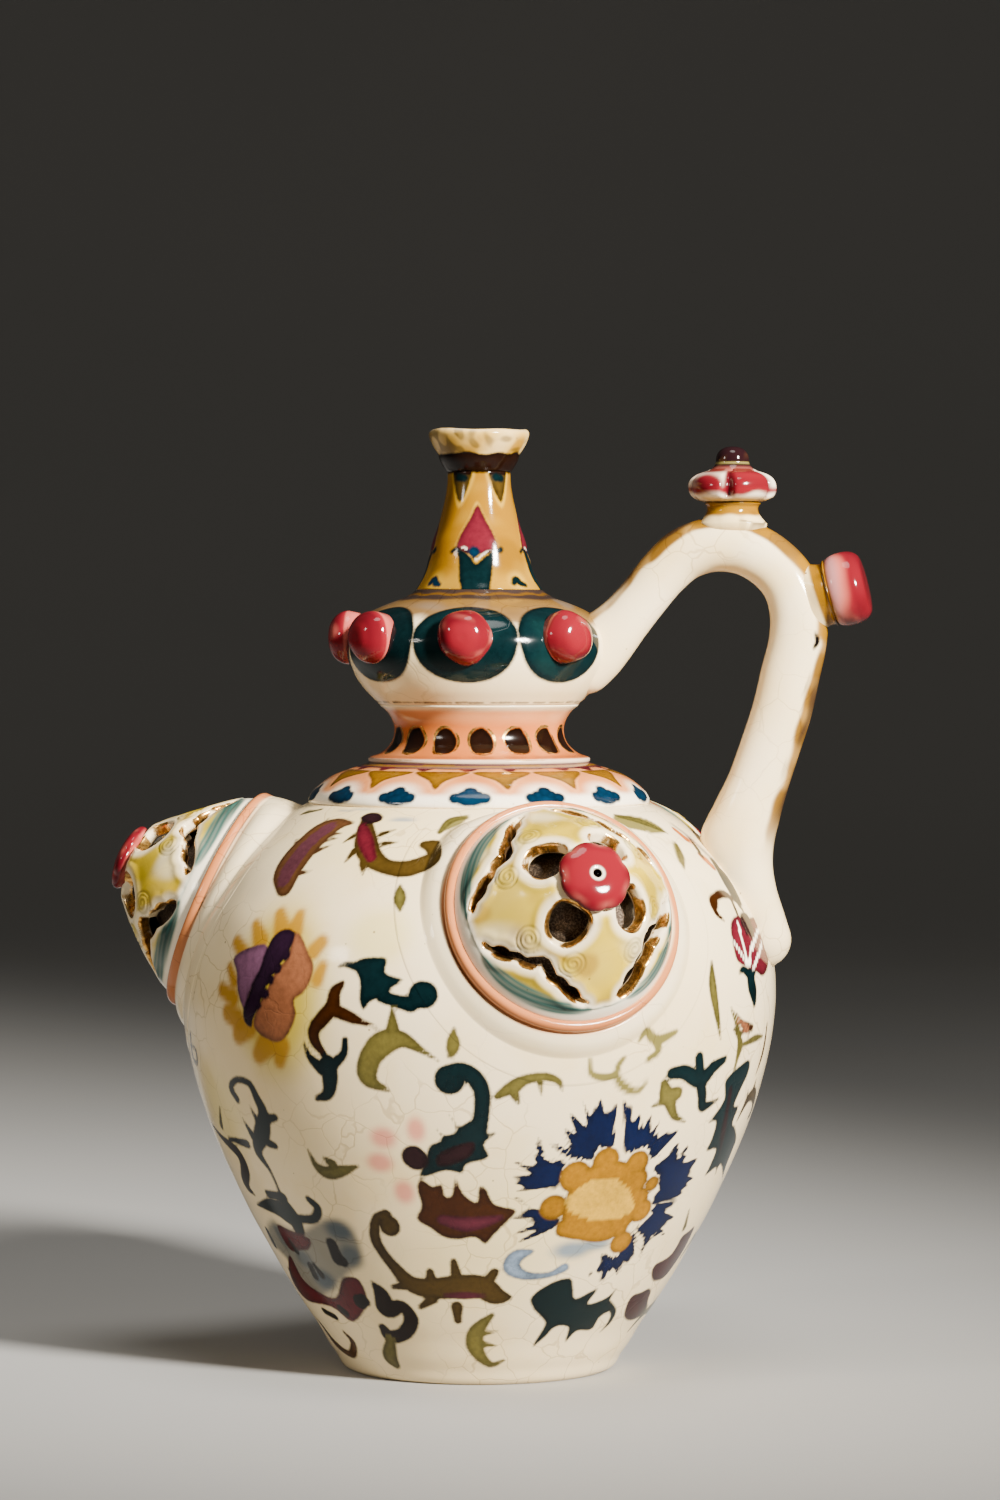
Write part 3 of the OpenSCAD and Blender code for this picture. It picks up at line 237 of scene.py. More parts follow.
BODY_FIELDS = [
    ("olive_pale", [[(-36.5, 124.5), (-30, 124.5), (-23, 123.5), (-20.5, 121), (-26, 120.5), (-33, 121.5),
        (-38.5, 122.5)], [(-22.5, 118.5), (-21, 118), (-23.5, 115), (-27, 114), (-26, 116)]]),
    ("umber", [[(-119.5, 123.5), (-125, 124), (-129.5, 123.5), (-132.5, 122), (-133.5, 119.5), (-134, 116.5),
        (-133.5, 113.5), (-132, 111), (-129.5, 109), (-127, 107.5), (-124.5, 108), (-124, 110.5), (-124, 113),
        (-123.5, 116.5), (-122.5, 120), (-121, 122), (-118, 123)]]),
    ("plum_rose", [[(-126.5, 123), (-129, 121.5), (-130.5, 118.5), (-131, 115.5), (-130.5, 112.5),
        (-129.5, 110.5), (-127.5, 109.5), (-126.5, 111), (-126.5, 114), (-126.5, 117), (-125.5, 120), (-124, 122)]]),
    ("plum", [[(-117.5, 124), (-117.5, 124.8), (-116, 125.3), (-113, 125.3), (-110, 124.5), (-110, 123.5),
        (-113.5, 123)]]),
    ("olive_pale", [[(-91, 121.5), (-90.5, 123.5), (-88.5, 124.5), (-85.5, 125), (-83.5, 125), (-85, 123.5),
        (-87.5, 122.5)]]),
    ("slate", [[(-144, 35), (-131.5, 34), (-120.5, 37.5), (-114.5, 36.5), (-111.5, 33), (-113.5, 28),
        (-122, 23.5), (-137, 18), (-142.5, 21.5), (-146.5, 26.5), (-153.5, 30)]]),
    ("crimson", [[(-141, 34.5), (-135.5, 34), (-128, 32.5), (-130.5, 30), (-134, 29.5), (-140.5, 29)],
        [(-143, 27.5), (-142.5, 22.5), (-137.5, 20), (-128.5, 19), (-121.5, 24), (-115.5, 24), (-116, 18.5),
        (-126, 13.5), (-133.5, 16.5), (-150.5, 16.5), (-155.5, 20)]]),
    ("teal", [[(-23.5, 67.5), (-22.5, 63), (-25, 59.5), (-26.5, 58), (-23.5, 58), (-23, 54), (-23.5, 51.5),
        (-19.2, 51.5), (-19, 47.5), (-19.5, 45.5), (-15, 47), (-13, 45), (-12.5, 47.5), (-3, 43), (-6.5, 46.5),
        (-7, 51), (-7.5, 52.5), (-12, 55.5), (-15, 57), (-14.5, 60.5), (-17, 61), (-16, 64), (-13.5, 68.5),
        (-15.5, 71)]]),
    ("plum", [[(-21.5, 65.5), (-21, 62.5), (-20.5, 59), (-19.5, 55), (-18, 52.5), (-15.5, 49), (-16.5, 52.5),
        (-17.5, 56), (-19, 60), (-20, 65)]]),
    ("maroon", [[(-9.5, 33), (-12.5, 32.5), (-16, 31.5), (-16, 29.5), (-17, 27.5), (-20.5, 26.5), (-23.5, 26),
        (-24, 24.5), (-20.5, 22), (-15.5, 21.5), (-11.5, 22), (-9, 24), (-7, 28)], [(-19.5, 20), (-23, 19.5),
        (-27.5, 19), (-28, 17), (-25.5, 14), (-19, 12.5), (-11, 13), (-11, 15), (-14.5, 17), (-16.5, 19)]]),
    ("rose_deep", [[(-18.5, 102), (-15, 102.5), (-13, 101.5), (-5, 101.5), (-1, 98.5), (-1.5, 95), (-5, 91),
        (-10, 89), (-14.5, 90.5), (-18, 91.5), (-21.5, 93), (-22, 96.5), (-21, 100)]]),
    ("plum", [[(-12, 103), (-9.5, 102.5), (-9.5, 100), (-11, 98), (-14, 98.5), (-15, 100.5), (-14, 102.5)]]),
    ("amber", [[(-60, 47), (-55, 51), (-48, 51), (-43, 47), (-40, 42), (-42, 36), (-48, 33), (-56, 34),
        (-61, 38)]]),
    ("mauve", [[(-134.5, 94.5), (-126, 97.5), (-124.5, 93.5), (-127, 89.5), (-129, 85.5), (-130, 83),
        (-132, 86.5), (-133, 91)]]),
    ("terracotta", [[(-119, 100), (-117, 99.5), (-114.5, 96), (-113, 93.5), (-113.5, 90), (-115, 87.5),
        (-117, 86), (-116.5, 83), (-118, 79.5), (-120.5, 77), (-123.5, 77), (-127.5, 79.5), (-126.5, 83.5),
        (-124, 87.5), (-122, 92), (-119.5, 95)]]),
    ("teal", [[(-104.5, 94), (-102.5, 95.5), (-98, 95.5), (-98, 92.5), (-94.5, 91), (-97, 89), (-96.5, 87.5),
        (-100.5, 86.5), (-102, 84.5), (-103, 86.5), (-103, 90.5)], [(-80, 61.5), (-79, 58.5), (-77, 58.5),
        (-79.5, 56), (-78.5, 53), (-83, 51.5), (-84, 49.5), (-87.5, 50), (-93, 48.5), (-91.5, 52.5), (-90.5, 55.5),
        (-88, 57), (-89, 59.5), (-87.5, 58), (-85, 59), (-86.5, 63), (-84.5, 60), (-82.5, 61)]]),
    ("plum", [[(-89, 53.5), (-85.5, 55.5), (-81.5, 56.5), (-82, 53.5), (-85.5, 51.5), (-89, 51)]]),
    ("brown", [[(-93, 48), (-90.5, 46.5), (-88.5, 47), (-88, 44.5), (-86.5, 44.5), (-85.5, 48.5), (-84.5, 46),
        (-83.5, 44.5), (-81, 43), (-80.5, 46.5), (-79, 46), (-77.5, 43), (-75.5, 42), (-72, 41), (-74.5, 38),
        (-77, 35.5), (-79, 33.5), (-81.5, 35), (-85.5, 34.5), (-89, 35), (-92, 37), (-95, 39), (-93.5, 42),
        (-94, 46)]]),
    ("blue", [[(-68.5, 57), (-66.5, 52.5), (-62.5, 51.5), (-63.5, 46), (-71.5, 45.5), (-71.5, 46.5),
        (-73.5, 48.5), (-69.5, 49), (-73, 52), (-69.5, 51)], [(-72.5, 44), (-69, 42), (-66, 41), (-61.5, 39),
        (-63, 36.5), (-70.5, 34), (-67, 36.5), (-71.5, 36), (-68, 38.5), (-72.5, 39.5), (-69.5, 41)], [(-60, 65.5),
        (-58, 62.5), (-56.5, 65), (-55, 62), (-52.5, 64.5), (-52.5, 59.5), (-51.5, 54.5), (-55, 54.5), (-56.5, 52),
        (-61.5, 52.5), (-66, 56), (-62, 55), (-64, 59), (-61, 58), (-62.5, 62), (-59, 60)], [(-51.5, 64.5),
        (-49.5, 63), (-49, 60), (-46.5, 61.5), (-46, 58.5), (-44.5, 61), (-43.5, 57.5), (-41.5, 59.5), (-41.5, 56.5),
        (-36, 57), (-38, 54), (-41, 51), (-44, 54), (-48.5, 53), (-50, 57)], [(-40, 49), (-37, 51.5), (-35, 54.5),
        (-33.5, 51), (-31.5, 53.5), (-30.5, 50), (-26.5, 50), (-27.5, 47), (-25, 46), (-27, 43), (-29, 41.5),
        (-36.5, 41.5), (-37, 46)], [(-36.5, 41), (-28, 40.5), (-30.5, 38.5), (-26.5, 37), (-29.5, 35), (-27, 33),
        (-32, 32.5), (-33.5, 28.5), (-34.5, 32.5), (-39, 35.5), (-35.5, 38)], [(-40, 34.5), (-37, 32), (-36, 28),
        (-39, 27.5), (-38.5, 24.5), (-42, 26), (-44.5, 23.5), (-45.5, 26), (-50, 25), (-46.5, 27.5), (-47, 30),
        (-42, 29.5)]]),
    ("amber", [[(-60, 39), (-46, 38), (-42, 35), (-46.5, 34), (-51.5, 33.5), (-57.5, 34), (-62, 35.5)]]),
    ("butter", [[(-57, 46), (-53.5, 47.5), (-48.5, 46.5), (-44.5, 43.5), (-42.5, 40), (-46, 38.5), (-53, 38.5),
        (-59, 40.5), (-60.5, 43)]]),
    ("teal", [[(-65.5, 21), (-60.5, 24), (-55, 25), (-53, 22.5), (-51, 20), (-44.5, 22), (-46, 18.5),
        (-39.5, 19.5), (-37, 21.5), (-37.5, 18.5), (-34, 16.5), (-38.5, 15), (-39.5, 12), (-46, 12), (-49, 9.5),
        (-50, 13), (-55, 13.5), (-58, 11), (-61.5, 9), (-59.5, 13), (-59.5, 15), (-64, 18)]]),
]
BODY_WASHES = [
    ("lemon", -121, 86.9, 15.5, 19, 0.85), ("olive_pale", -121, 86.9, 13, 17, 0.22),
    ("greyblue", -103, 124, 4, 1, 0.8), ("greyblue", -120.5, 126, 3.6, 0.7, 0.5),
    ("greyblue", -127, 125.5, 3.2, 0.7, 0.6), ("olive", -146.5, 125, 2.2, 1, 0.8), ("yellow", -122, 89, 14, 23, 0.8),
    ("lemon", -100, 100, 9, 8, 0.5), ("lemon", -146, 60, 12, 14, 0.4), ("blush", -100, 57, 3.9, 3.2, 0.95),
    ("blush", -93, 59, 2.7, 3.7, 0.95), ("blush", -101.5, 51.5, 3.9, 3, 0.95), ("blush", -97, 45, 3, 3.7, 0.95),
    ("greyblue", -56.5, 31.5, 6, 3, 0.95), ("greyblue", -50, 32.5, 5, 2.2, 0.9),
    ("slate", -116.5, 35.5, 5, 3.6, 0.9), ("slate", -115.5, 29.5, 4, 4, 0.8), ("slate", -130, 23, 5, 3.6, 0.9),
    ("slate", -135, 27.5, 4, 3.5, 0.7), ("slate", -142, 32, 2.5, 5, 0.6), ("salmon", -11, 118.5, 2.6, 1.8, 0.9),
    ("salmon", -13, 114.5, 2.2, 1.8, 0.9),
]


# ---------------------------------------------------------------- shapes from numbers
def smooth(low, high, x):
    """0 below low, 1 above high, with a cubic ease 3t^2 - 2t^3 between."""
    t = np.clip((np.asarray(x, float) - low) / (high - low), 0, 1)
    return t * t * (3 - 2 * t)


def fade(low, high, x):
    """1 below low, 0 above high: one less the smooth step."""
    return 1 - smooth(low, high, x)


def flowing(points, parts, closed=False):
    """Catmull-Rom curve through points: each span is cut in `parts`, with tangents half the chord of the neighbours."""
    p = np.asarray(points, float)
    p = np.vstack([p[-1:], p, p[:2]]) if closed else np.vstack([2 * p[0] - p[1], p, 2 * p[-1] - p[-2]])
    t = (np.arange(parts) / parts)[:, None, None]
    a, b, c, d = p[:-3], p[1:-2], p[2:-1], p[3:]
    run = 0.5 * (2 * b + (c - a) * t + (2 * a - 5 * b + 4 * c - d) * t ** 2 + (3 * b - a - 3 * c + d) * t ** 3)
    run = run.transpose(1, 0, 2).reshape(-1, p.shape[1])
    return run if closed else np.vstack([run, p[-2:-1]])


def lengths(p):
    """Running length along a line of points."""
    return np.concatenate([[0], np.cumsum(np.linalg.norm(np.diff(p, axis=0), axis=1))])


def even(points, count, parts=SPAN):
    """`count` points at equal spacing along the flowing curve through points."""
    p = flowing(points, parts)
    s = lengths(p[:, :2])
    t = np.linspace(0, s[-1], count)
    return np.stack([np.interp(t, s, p[:, k]) for k in range(p.shape[1])], 1)


def ripple(x, y, z, seed, size):
    """Soft unevenness: a third of the sum of five sine waves in random directions, each with a wavelength near
    `size`."""
    rng = np.random.default_rng(seed)
    d = rng.normal(size=(5, 3))
    d /= np.linalg.norm(d, axis=1)[:, None]
    k = TURN / (size * rng.uniform(0.7, 1.5, 5))
    start = rng.uniform(0, TURN, 5)
    return sum(np.sin(k[i] * (d[i, 0] * x + d[i, 1] * y + d[i, 2] * z) + start[i]) for i in range(5)) / 3


def clouds(grid, seed, size):
    """The ripple at the points of a grid."""
    return ripple(grid[..., 0], grid[..., 1], grid[..., 2], seed, size)


def mottle(a, r, h, seed, size):
    """The ripple at points given by turn, radius and height."""
    return ripple(r * np.cos(a), r * np.sin(a), h, seed, size)


def polar(r, a, h):
    """Points at radius r, turn a and height h."""
    return np.stack([r * np.cos(a), r * np.sin(a), h + 0 * (r + a)], -1)


# ---------------------------------------------------------------- distances to painted marks
def side_distance(x, y, a, b):
    """For points and sides from a to b: the share of each side at which it is nearest, and its distance there."""
    ab = b - a
    p = np.stack([x, y], -1)[:, None]
    t = np.clip(((p - a) * ab).sum(2) / np.maximum((ab * ab).sum(1), 1e-9), 0, 1)
    return t, np.linalg.norm(p - a - t[..., None] * ab, axis=2)


def stroke_distance(x, y, q):
    """Least distance to the tapering capsules between points (x, y, half width), negative inside them."""
    t, d = side_distance(x, y, q[:-1, :2], q[1:, :2])
    return (d - (q[:-1, 2] + t * (q[1:, 2] - q[:-1, 2]))).min(1)


def loop_distance(x, y, outline):
    """Distance to the sides of a closed outline, negative where a level ray crosses them an odd number of times."""
    a, b = outline, np.roll(outline, -1, 0)
    d = side_distance(x, y, a, b)[1].min(1)
    x, y = x[:, None], y[:, None]
    rise = b[:, 1] - a[:, 1]
    cross = (a[:, 1] > y) != (b[:, 1] > y)
    level = a[:, 0] + (y - a[:, 1]) / np.where(np.abs(rise) < 1e-9, 1e-9, rise) * (b[:, 0] - a[:, 0])
    return np.where((cross & (x < level)).sum(1) % 2 == 1, -d, d)


# ---------------------------------------------------------------- paint laid on a grid
class Coat:
    """Paint on a surface whose points have a turn (radians), a radius and a length along the outline (mm).

    It holds the ground colour; two layers of brush marks, `paint` and `over`, each with the distance to the edge of its
    nearest mark (`line` and `rim`, below 0 inside a mark); `gilt`, how much gold lies there; and `frill`, a place, a
    count and a depth of teeth that nick the marks laid while it is set.
    """

    def __init__(self, turn, radius, along, ground="ivory"):
        places = np.broadcast_arrays(turn, radius, along)
        self.turn, self.radius, self.along = (np.asarray(v, float).ravel() for v in places)
        n = len(self.turn)
        self.ground, self.paint, self.over = (np.tile(GLAZE[ground], (n, 1)) for _ in range(3))
        self.line, self.rim = np.full(n, CLEAR), np.full(n, CLEAR)
        self.gilt = np.zeros(n)
        self.frill = None

    def chart(self, turn0):
        """Distance round the surface from turn0, at each point's own radius."""
        return self.radius * ((self.turn - turn0 + np.pi) % TURN - np.pi)

    def around(self, low_x, high_x, low_y, high_y, turn0, along0):
        """Points within 3 mm of a patch, and their places in it."""
        x, y = self.chart(turn0), self.along - along0
        near = np.flatnonzero((x > low_x - 3) & (x < high_x + 3) & (y > low_y - 3) & (y < high_y + 3))
        return near, x[near], y[near]

    def nick(self, near, d):
        """Edge distance d with the teeth of the frill: triangle waves round its place, from 8.5 to 12.5 mm out."""
        turn0, along0, count, deep = self.frill
        x, y = self.chart(turn0)[near], self.along[near] - along0
        ray = np.arctan2(y, x) / TURN * count
        tooth = np.abs((ray + 0.3 * np.sin(ray * 0.9)) % 1 - 0.5) * 2
        return d - 0.45 + deep * smooth(8.5, 12.5, np.hypot(x, y)) * (0.7 + 0.3 * np.sin(ray * 1.7)) * tooth

    def tint(self, colour, amount, near=slice(None)):
        """Mixes a colour into the ground of some points by an amount for each."""
        self.ground[near] += amount[:, None] * (GLAZE[colour] - self.ground[near])

    def lay(self, colour, near, d, over=False, soft=0.0, strength=1.0):
        """Lays a mark of edge distance d: as a soft stain in the ground, or in one of the two layers, where it takes
        the points that it covers or is the nearest mark to."""
        if self.frill:
            d = self.nick(near, d)
        if soft:
            self.tint(colour, strength * fade(-soft, soft, d), near)
            return
        paint, line = (self.over, self.rim) if over else (self.paint, self.line)
        take = (d < 0.3) | (d < line[near])
        paint[near[take]] = GLAZE[colour]
        line[near] = np.minimum(line[near], d)

    def brush(self, colour, points, turn0, along0=0.0, **how):
        """Brush line through (x, y, half width) about a place."""
        q = flowing(points, 6)
        q[:, 2] = np.maximum(q[:, 2], 0.1)
        w = q[:, 2].max()
        (low_x, low_y), (high_x, high_y) = q[:, :2].min(0) - w, q[:, :2].max(0) + w
        near, x, y = self.around(low_x, high_x, low_y, high_y, turn0, along0)
        if len(near):
            self.lay(colour, near, stroke_distance(x, y, q), **how)

    def field(self, colour, points, turn0, along0=0.0, **how):
        """Filled outline through (x, y) about a place."""
        q = flowing(points, 4, closed=True)
        near, x, y = self.around(q[:, 0].min(), q[:, 0].max(), q[:, 1].min(), q[:, 1].max(), turn0, along0)
        if len(near):
            self.lay(colour, near, loop_distance(x, y, q), **how)

    def oval(self, colour, turn0, along0, rx, ry, **how):
        """Ellipse: (rho - 1) times its smaller radius, with rho the scaled distance from the middle."""
        near, x, y = self.around(-rx, rx, -ry, ry, turn0, along0)
        self.lay(colour, near, (np.hypot(x / rx, y / ry) - 1) * min(rx, ry), **how)

    def band(self, colour, low, high, wave=0.0, count=0, **how):
        """Ring between two lengths, whose edges may wave `count` times round."""
        edge = wave * np.sin(count * self.turn)
        mid, half = (low + high) / 2, (high - low) / 2
        self.lay(colour, np.arange(len(self.turn)), np.abs(self.along - mid + edge) - half, **how)

    def wash(self, colour, turn0, along0, rx, ry, strength):
        """Soft stain in the ground, fading with the scaled distance from its middle."""
        rho = np.hypot(self.chart(turn0) / rx, (self.along - along0) / ry)
        self.tint(colour, strength * fade(0.35, 1.15, rho))

    def flood(self, colour, amount):
        """Mixes a colour into the ground by an amount given at every point."""
        self.tint(colour, np.clip(np.ravel(amount), 0, 1))


# ---------------------------------------------------------------- meshes
def cast(name, points, faces, coat, material, node):
    """One piece of the jug: points in mm, faces of 3 or 4 corners, turned to face outward by the sign of the enclosed
    volume (a sixth of the sum of a . (b x c) over its triangles), with the coat as attributes of its points."""
    v = np.asarray(points, float).reshape(-1, 3) * MM
    volume = 0.0
    for f in faces:
        a, b, c = v[f[:, 0]], v[f[:, 1]], v[f[:, 2]]
        volume += (a * np.cross(b, c)).sum()
        if f.shape[1] == 4:
            volume += (a * np.cross(c, v[f[:, 3]])).sum()
    if volume < 0:
        faces = [f[:, ::-1] for f in faces]
    mesh = bpy.data.meshes.new(name)
    mesh.from_pydata(v.tolist(), [], [row for f in faces for row in f.tolist()])
    mesh.shade_smooth()
    for key in ("ground", "paint", "over"):
        colour = np.ones((len(v), 4), np.float32)
        rows = getattr(coat, key)
        colour[:len(rows), :3] = rows
        colour[len(rows):, :3] = rows.mean(0)
        mesh.attributes.new(key, "FLOAT_COLOR", "POINT").data.foreach_set("color", colour.ravel())
    for key in ("line", "rim", "gilt"):
        value = np.full(len(v), 0.0 if key == "gilt" else CLEAR, np.float32)
        rows = getattr(coat, key)
        value[:len(rows)] = rows
        mesh.attributes.new(key, "FLOAT", "POINT").data.foreach_set("value", value)
    mesh.materials.append(material)
    piece = bpy.data.objects.new(name, mesh)
    bpy.context.scene.collection.objects.link(piece)
    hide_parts(node)
    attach(piece, "root")


def net(rows, columns, around=True, loop=False):
    """Quads of a grid of points numbered along its rows; `around` joins the last column to the first, `loop` the
    rows."""
    i = np.arange(rows * columns).reshape(rows, columns)
    if around:
        i = np.concatenate([i, i[:, :1]], 1)
    if loop:
        i = np.concatenate([i, i[:1]], 0)
    return np.stack([i[:-1, :-1], i[:-1, 1:], i[1:, 1:], i[1:, :-1]], -1).reshape(-1, 4)


def fan(ring, pole):
    """Triangles from a closed ring of point numbers to one pole."""
    return np.stack([ring, np.roll(ring, -1), np.full(len(ring), pole)], 1)


def hoop(grid):
    """Faces of a grid that closes both ways, round the axis and round its outline."""
    return [net(*grid.shape[:2], loop=True)]


def capped(rows, columns):
    """Faces of a grid that closes round its rows, and of a fan at either end to one of two points after the grid."""
    n, ring = rows * columns, np.arange(columns)
    return [net(rows, columns), fan(ring, n)[:, ::-1], fan(ring + n - columns, n + 1)]


def turns(front, back, middle=-80.5, reach=105):
    """Turns round the jug in radians, closer together on the side that the camera sees."""
    near = np.linspace(middle - reach, middle + reach, front, endpoint=False)
    far = np.linspace(middle + reach, middle - reach + 360, back, endpoint=False)
    return np.radians(np.concatenate([near, far]))


def thrown(outer, inner, z0, count, front, back, ground):
    """A thrown ring: the evenly spaced outer outline and the inner one, closed, turned round the axis.

    Returns the grid of points, its coat, the turn and the length along the outer outline at each point, and that
    outline's whole length.
    """
    skin = even(outer, count)
    run = lengths(skin)
    line = np.vstack([skin, np.asarray(inner, float)])
    s = np.concatenate([run, np.full(len(inner), run[-1] + 4.0)])[:, None]
    r, a = line[:, :1], turns(front, back)[None]
    return polar(r, a, line[:, 1:] + z0), Coat(a, r, s, ground), a + 0 * r, s + 0 * a, run[-1]


def height_to_length(outline, z):
    """Length along an outline at a height."""
    p = flowing(outline, SPAN)
    return np.interp(z, p[:, 1], lengths(p))


def radius_at(outline, z):
    """Radius of an outline at a height."""
    p = flowing(outline, SPAN)
    return np.interp(z, p[:, 1], p[:, 0])


# ---------------------------------------------------------------- shader bench
class Wire:
    """A value socket; sums and products of wires and numbers add Math nodes."""

    def __init__(self, bench, socket):
        self.bench, self.socket = bench, socket

    def _do(self, kind, *values):
        return self.bench.node("ShaderNodeMath", *values, operation=kind)

    def __add__(self, o): return self._do("ADD", self, o)
    def __radd__(self, o): return self._do("ADD", o, self)
    def __sub__(self, o): return self._do("SUBTRACT", self, o)
    def __rsub__(self, o): return self._do("SUBTRACT", o, self)
    def __mul__(self, o): return self._do("MULTIPLY", self, o)
    def __rmul__(self, o): return self._do("MULTIPLY", o, self)
    def __truediv__(self, o): return self._do("DIVIDE", self, o)
    def __rtruediv__(self, o): return self._do("DIVIDE", o, self)
    def __neg__(self): return self._do("MULTIPLY", self, -1.0)


class Bench:
    """A material's node tree, with one method that adds any node."""

    def __init__(self, name):
        self.material = bpy.data.materials.new(name)
        self.material.use_nodes = True
        self.tree = self.material.node_tree
        self.shader = self.tree.nodes["Principled BSDF"]
        self.place = self.node("ShaderNodeTexCoord", out="Object")

    def plug(self, socket, value):
        """Links a wire to a socket, or sets a value on it."""
        if isinstance(value, Wire):
            self.tree.links.new(value.socket, socket)
        else:
            socket.default_value = value

    def node(self, kind, *values, out=0, named=None, **settings):
        """Adds a node: settings first, then the values or wires of its sockets, by order or by name."""
        n = self.tree.nodes.new(kind)
        for key, value in settings.items():
            setattr(n, key, value)
        for key, value in list(enumerate(values)) + list((named or {}).items()):
            self.plug(n.inputs[key], value)
        return Wire(self, n.outputs[out])

    def mix(self, amount, a, b, blend="MIX"):
        """Colour a turned into colour b by amount."""
        a, b = (c if isinstance(c, Wire) else (*c, 1.0) for c in (a, b))
        return self.node("ShaderNodeMix", named={0: amount, 6: a, 7: b}, out=2, data_type="RGBA", blend_type=blend)

    def tinged(self, colour, by):
        """A colour multiplied by another."""
        return self.mix(1.0, colour, by, "MULTIPLY")

    def bump(self, height, strength, distance):
        """A normal bent by a height."""
        return self.node("ShaderNodeBump", named={"Strength": strength, "Distance": distance, "Height": height})

    def ease(self, value, low, high, to_low=0.0, to_high=1.0):
        """A smooth step of a value from low to high."""
        sockets = {"Value": value, "From Min": low, "From Max": high, "To Min": to_low, "To Max": to_high}
        return self.node("ShaderNodeMapRange", named=sockets, interpolation_type="SMOOTHSTEP")

    def noise(self, place, scale, detail=2.0, rough=0.5, out="Fac"):
        """Noise of so many cells to the metre."""
        sockets = {"Vector": place, "Scale": scale, "Detail": detail, "Roughness": rough}
        return self.node("ShaderNodeTexNoise", named=sockets, out=out)

    def feed(self, **sockets):
        """Links wires, or sets numbers, on the shader's own sockets."""
        for key, value in sockets.items():
            self.plug(self.shader.inputs[key.replace("_", " ")], value)


def glaze(name, craze, specks, polish=0.09, wander=0.3):
    """Fired glaze over painted clay. The ground shows between brush marks. The two layers of marks have edges that
    wander and bleed a little, and pigment that is mottled, and darker at its edges, where it pooled, than inside. Then
    come fine craze lines, kiln specks, gold lustre, and a slightly uneven gloss."""
    b = Bench(name)
    place = b.place
    ground, paint, over = (b.node("ShaderNodeAttribute", attribute_name=key, out="Color")
        for key in ("ground", "paint", "over"))
    line, rim, gilt = (b.node("ShaderNodeAttribute", attribute_name=key, out="Fac") for key in ("line", "rim", "gilt"))
    fine = b.noise(place, 900.0, 3.0, 0.6)
    broad = b.noise(place, 75.0, 3.0, 0.6)
    grainy = b.noise(place, 2600.0, 2.0, 0.6)
    # ground: faint yellow clouds
    clear = b.mix(b.ease(broad, 0.45, 0.75, 0.0, 0.35), ground, b.tinged(ground, (0.93, 0.84, 0.60)))
    # craze lines between Voronoi cells bent by noise
    bent = b.node("ShaderNodeVectorMath", place, b.node("ShaderNodeVectorMath", b.noise(place, 160.0, 2.0, out="Color"),
        (0.004, 0.004, 0.004), operation="MULTIPLY"), operation="ADD")
    gap = b.node("ShaderNodeTexVoronoi", named={"Vector": bent, "Scale": 120.0}, out="Distance",
        feature="DISTANCE_TO_EDGE")
    crack = b.ease(gap, 0.024, 0.005) * b.ease(b.noise(place, 28.0, 1.0), 0.4, 0.58) * craze
    spot = b.node("ShaderNodeTexVoronoi", named={"Vector": place, "Scale": 260.0}, out="Distance", feature="F1")
    dot = b.ease(spot, 0.09, 0.05) * b.ease(b.noise(place, 420.0, 0.0), 0.6, 0.64) * specks
    clear = b.mix(crack * 0.65, clear, b.tinged(clear, (0.36, 0.28, 0.20)))
    look, cover = b.mix(dot, clear, b.tinged(clear, (0.12, 0.08, 0.05))), 0.0
    for colour, edge in ((paint, line), (over, rim)):
        edge = edge + (fine - 0.5) * wander + (grainy - 0.5) * 0.25
        mark = b.ease(edge, 0.4, -0.42)
        tone = 0.7 + 0.6 * b.ease(edge, -0.1, -1.6) + (broad - 0.5) * 1.3 + (fine - 0.5)
        look = b.mix(mark, look, b.tinged(colour, b.node("ShaderNodeCombineXYZ", tone, tone, tone)))
        cover = mark + cover
    # gold lustre, rubbed thin in places
    gold = b.ease(gilt + (fine - 0.5) * 0.5 + (broad - 0.5) * 0.3, 0.38, 0.62)
    lustre = b.mix(b.ease(fine, 0.35, 0.7), (0.30, 0.13, 0.025), (0.86, 0.50, 0.13))
    b.feed(Base_Color=b.mix(gold, look, lustre), Metallic=gold * 0.95,
        Roughness=polish + 0.1 * b.ease(broad, 0.4, 0.8) + gold * 0.14 + crack * 0.1,
        Coat_Weight=0.05 - gold * 0.05, Coat_Roughness=0.04, IOR=1.5, Specular_IOR_Level=0.17)
    relief = cover * 0.08 + b.noise(place, 110.0, 1.0) * 0.5 + fine * 0.05 - crack * 0.25 - dot * 0.2
    b.feed(Normal=b.bump(relief, 0.35, 0.0004))
    return b.material


def bronze(name):
    """Brown lustre sprayed over clay: grey-brown metal with pale grains and dull patches."""
    b = Bench(name)
    place = b.place
    grain = b.noise(place, 2200.0, 2.0, 0.7)
    patch = b.noise(place, 160.0, 3.0)
    tone = b.mix(b.ease(grain, 0.42, 0.68), (0.045, 0.03, 0.022), (0.27, 0.20, 0.14))
    b.feed(Base_Color=b.mix(b.ease(patch, 0.4, 0.7, 0.0, 0.5), tone, (0.12, 0.075, 0.04)),
        Metallic=0.55 * b.ease(patch, 0.3, 0.7), Roughness=0.38 + 0.2 * grain, Coat_Weight=0.25, Coat_Roughness=0.15,
        Normal=b.bump(grain, 0.4, 0.0003))
    return b.material


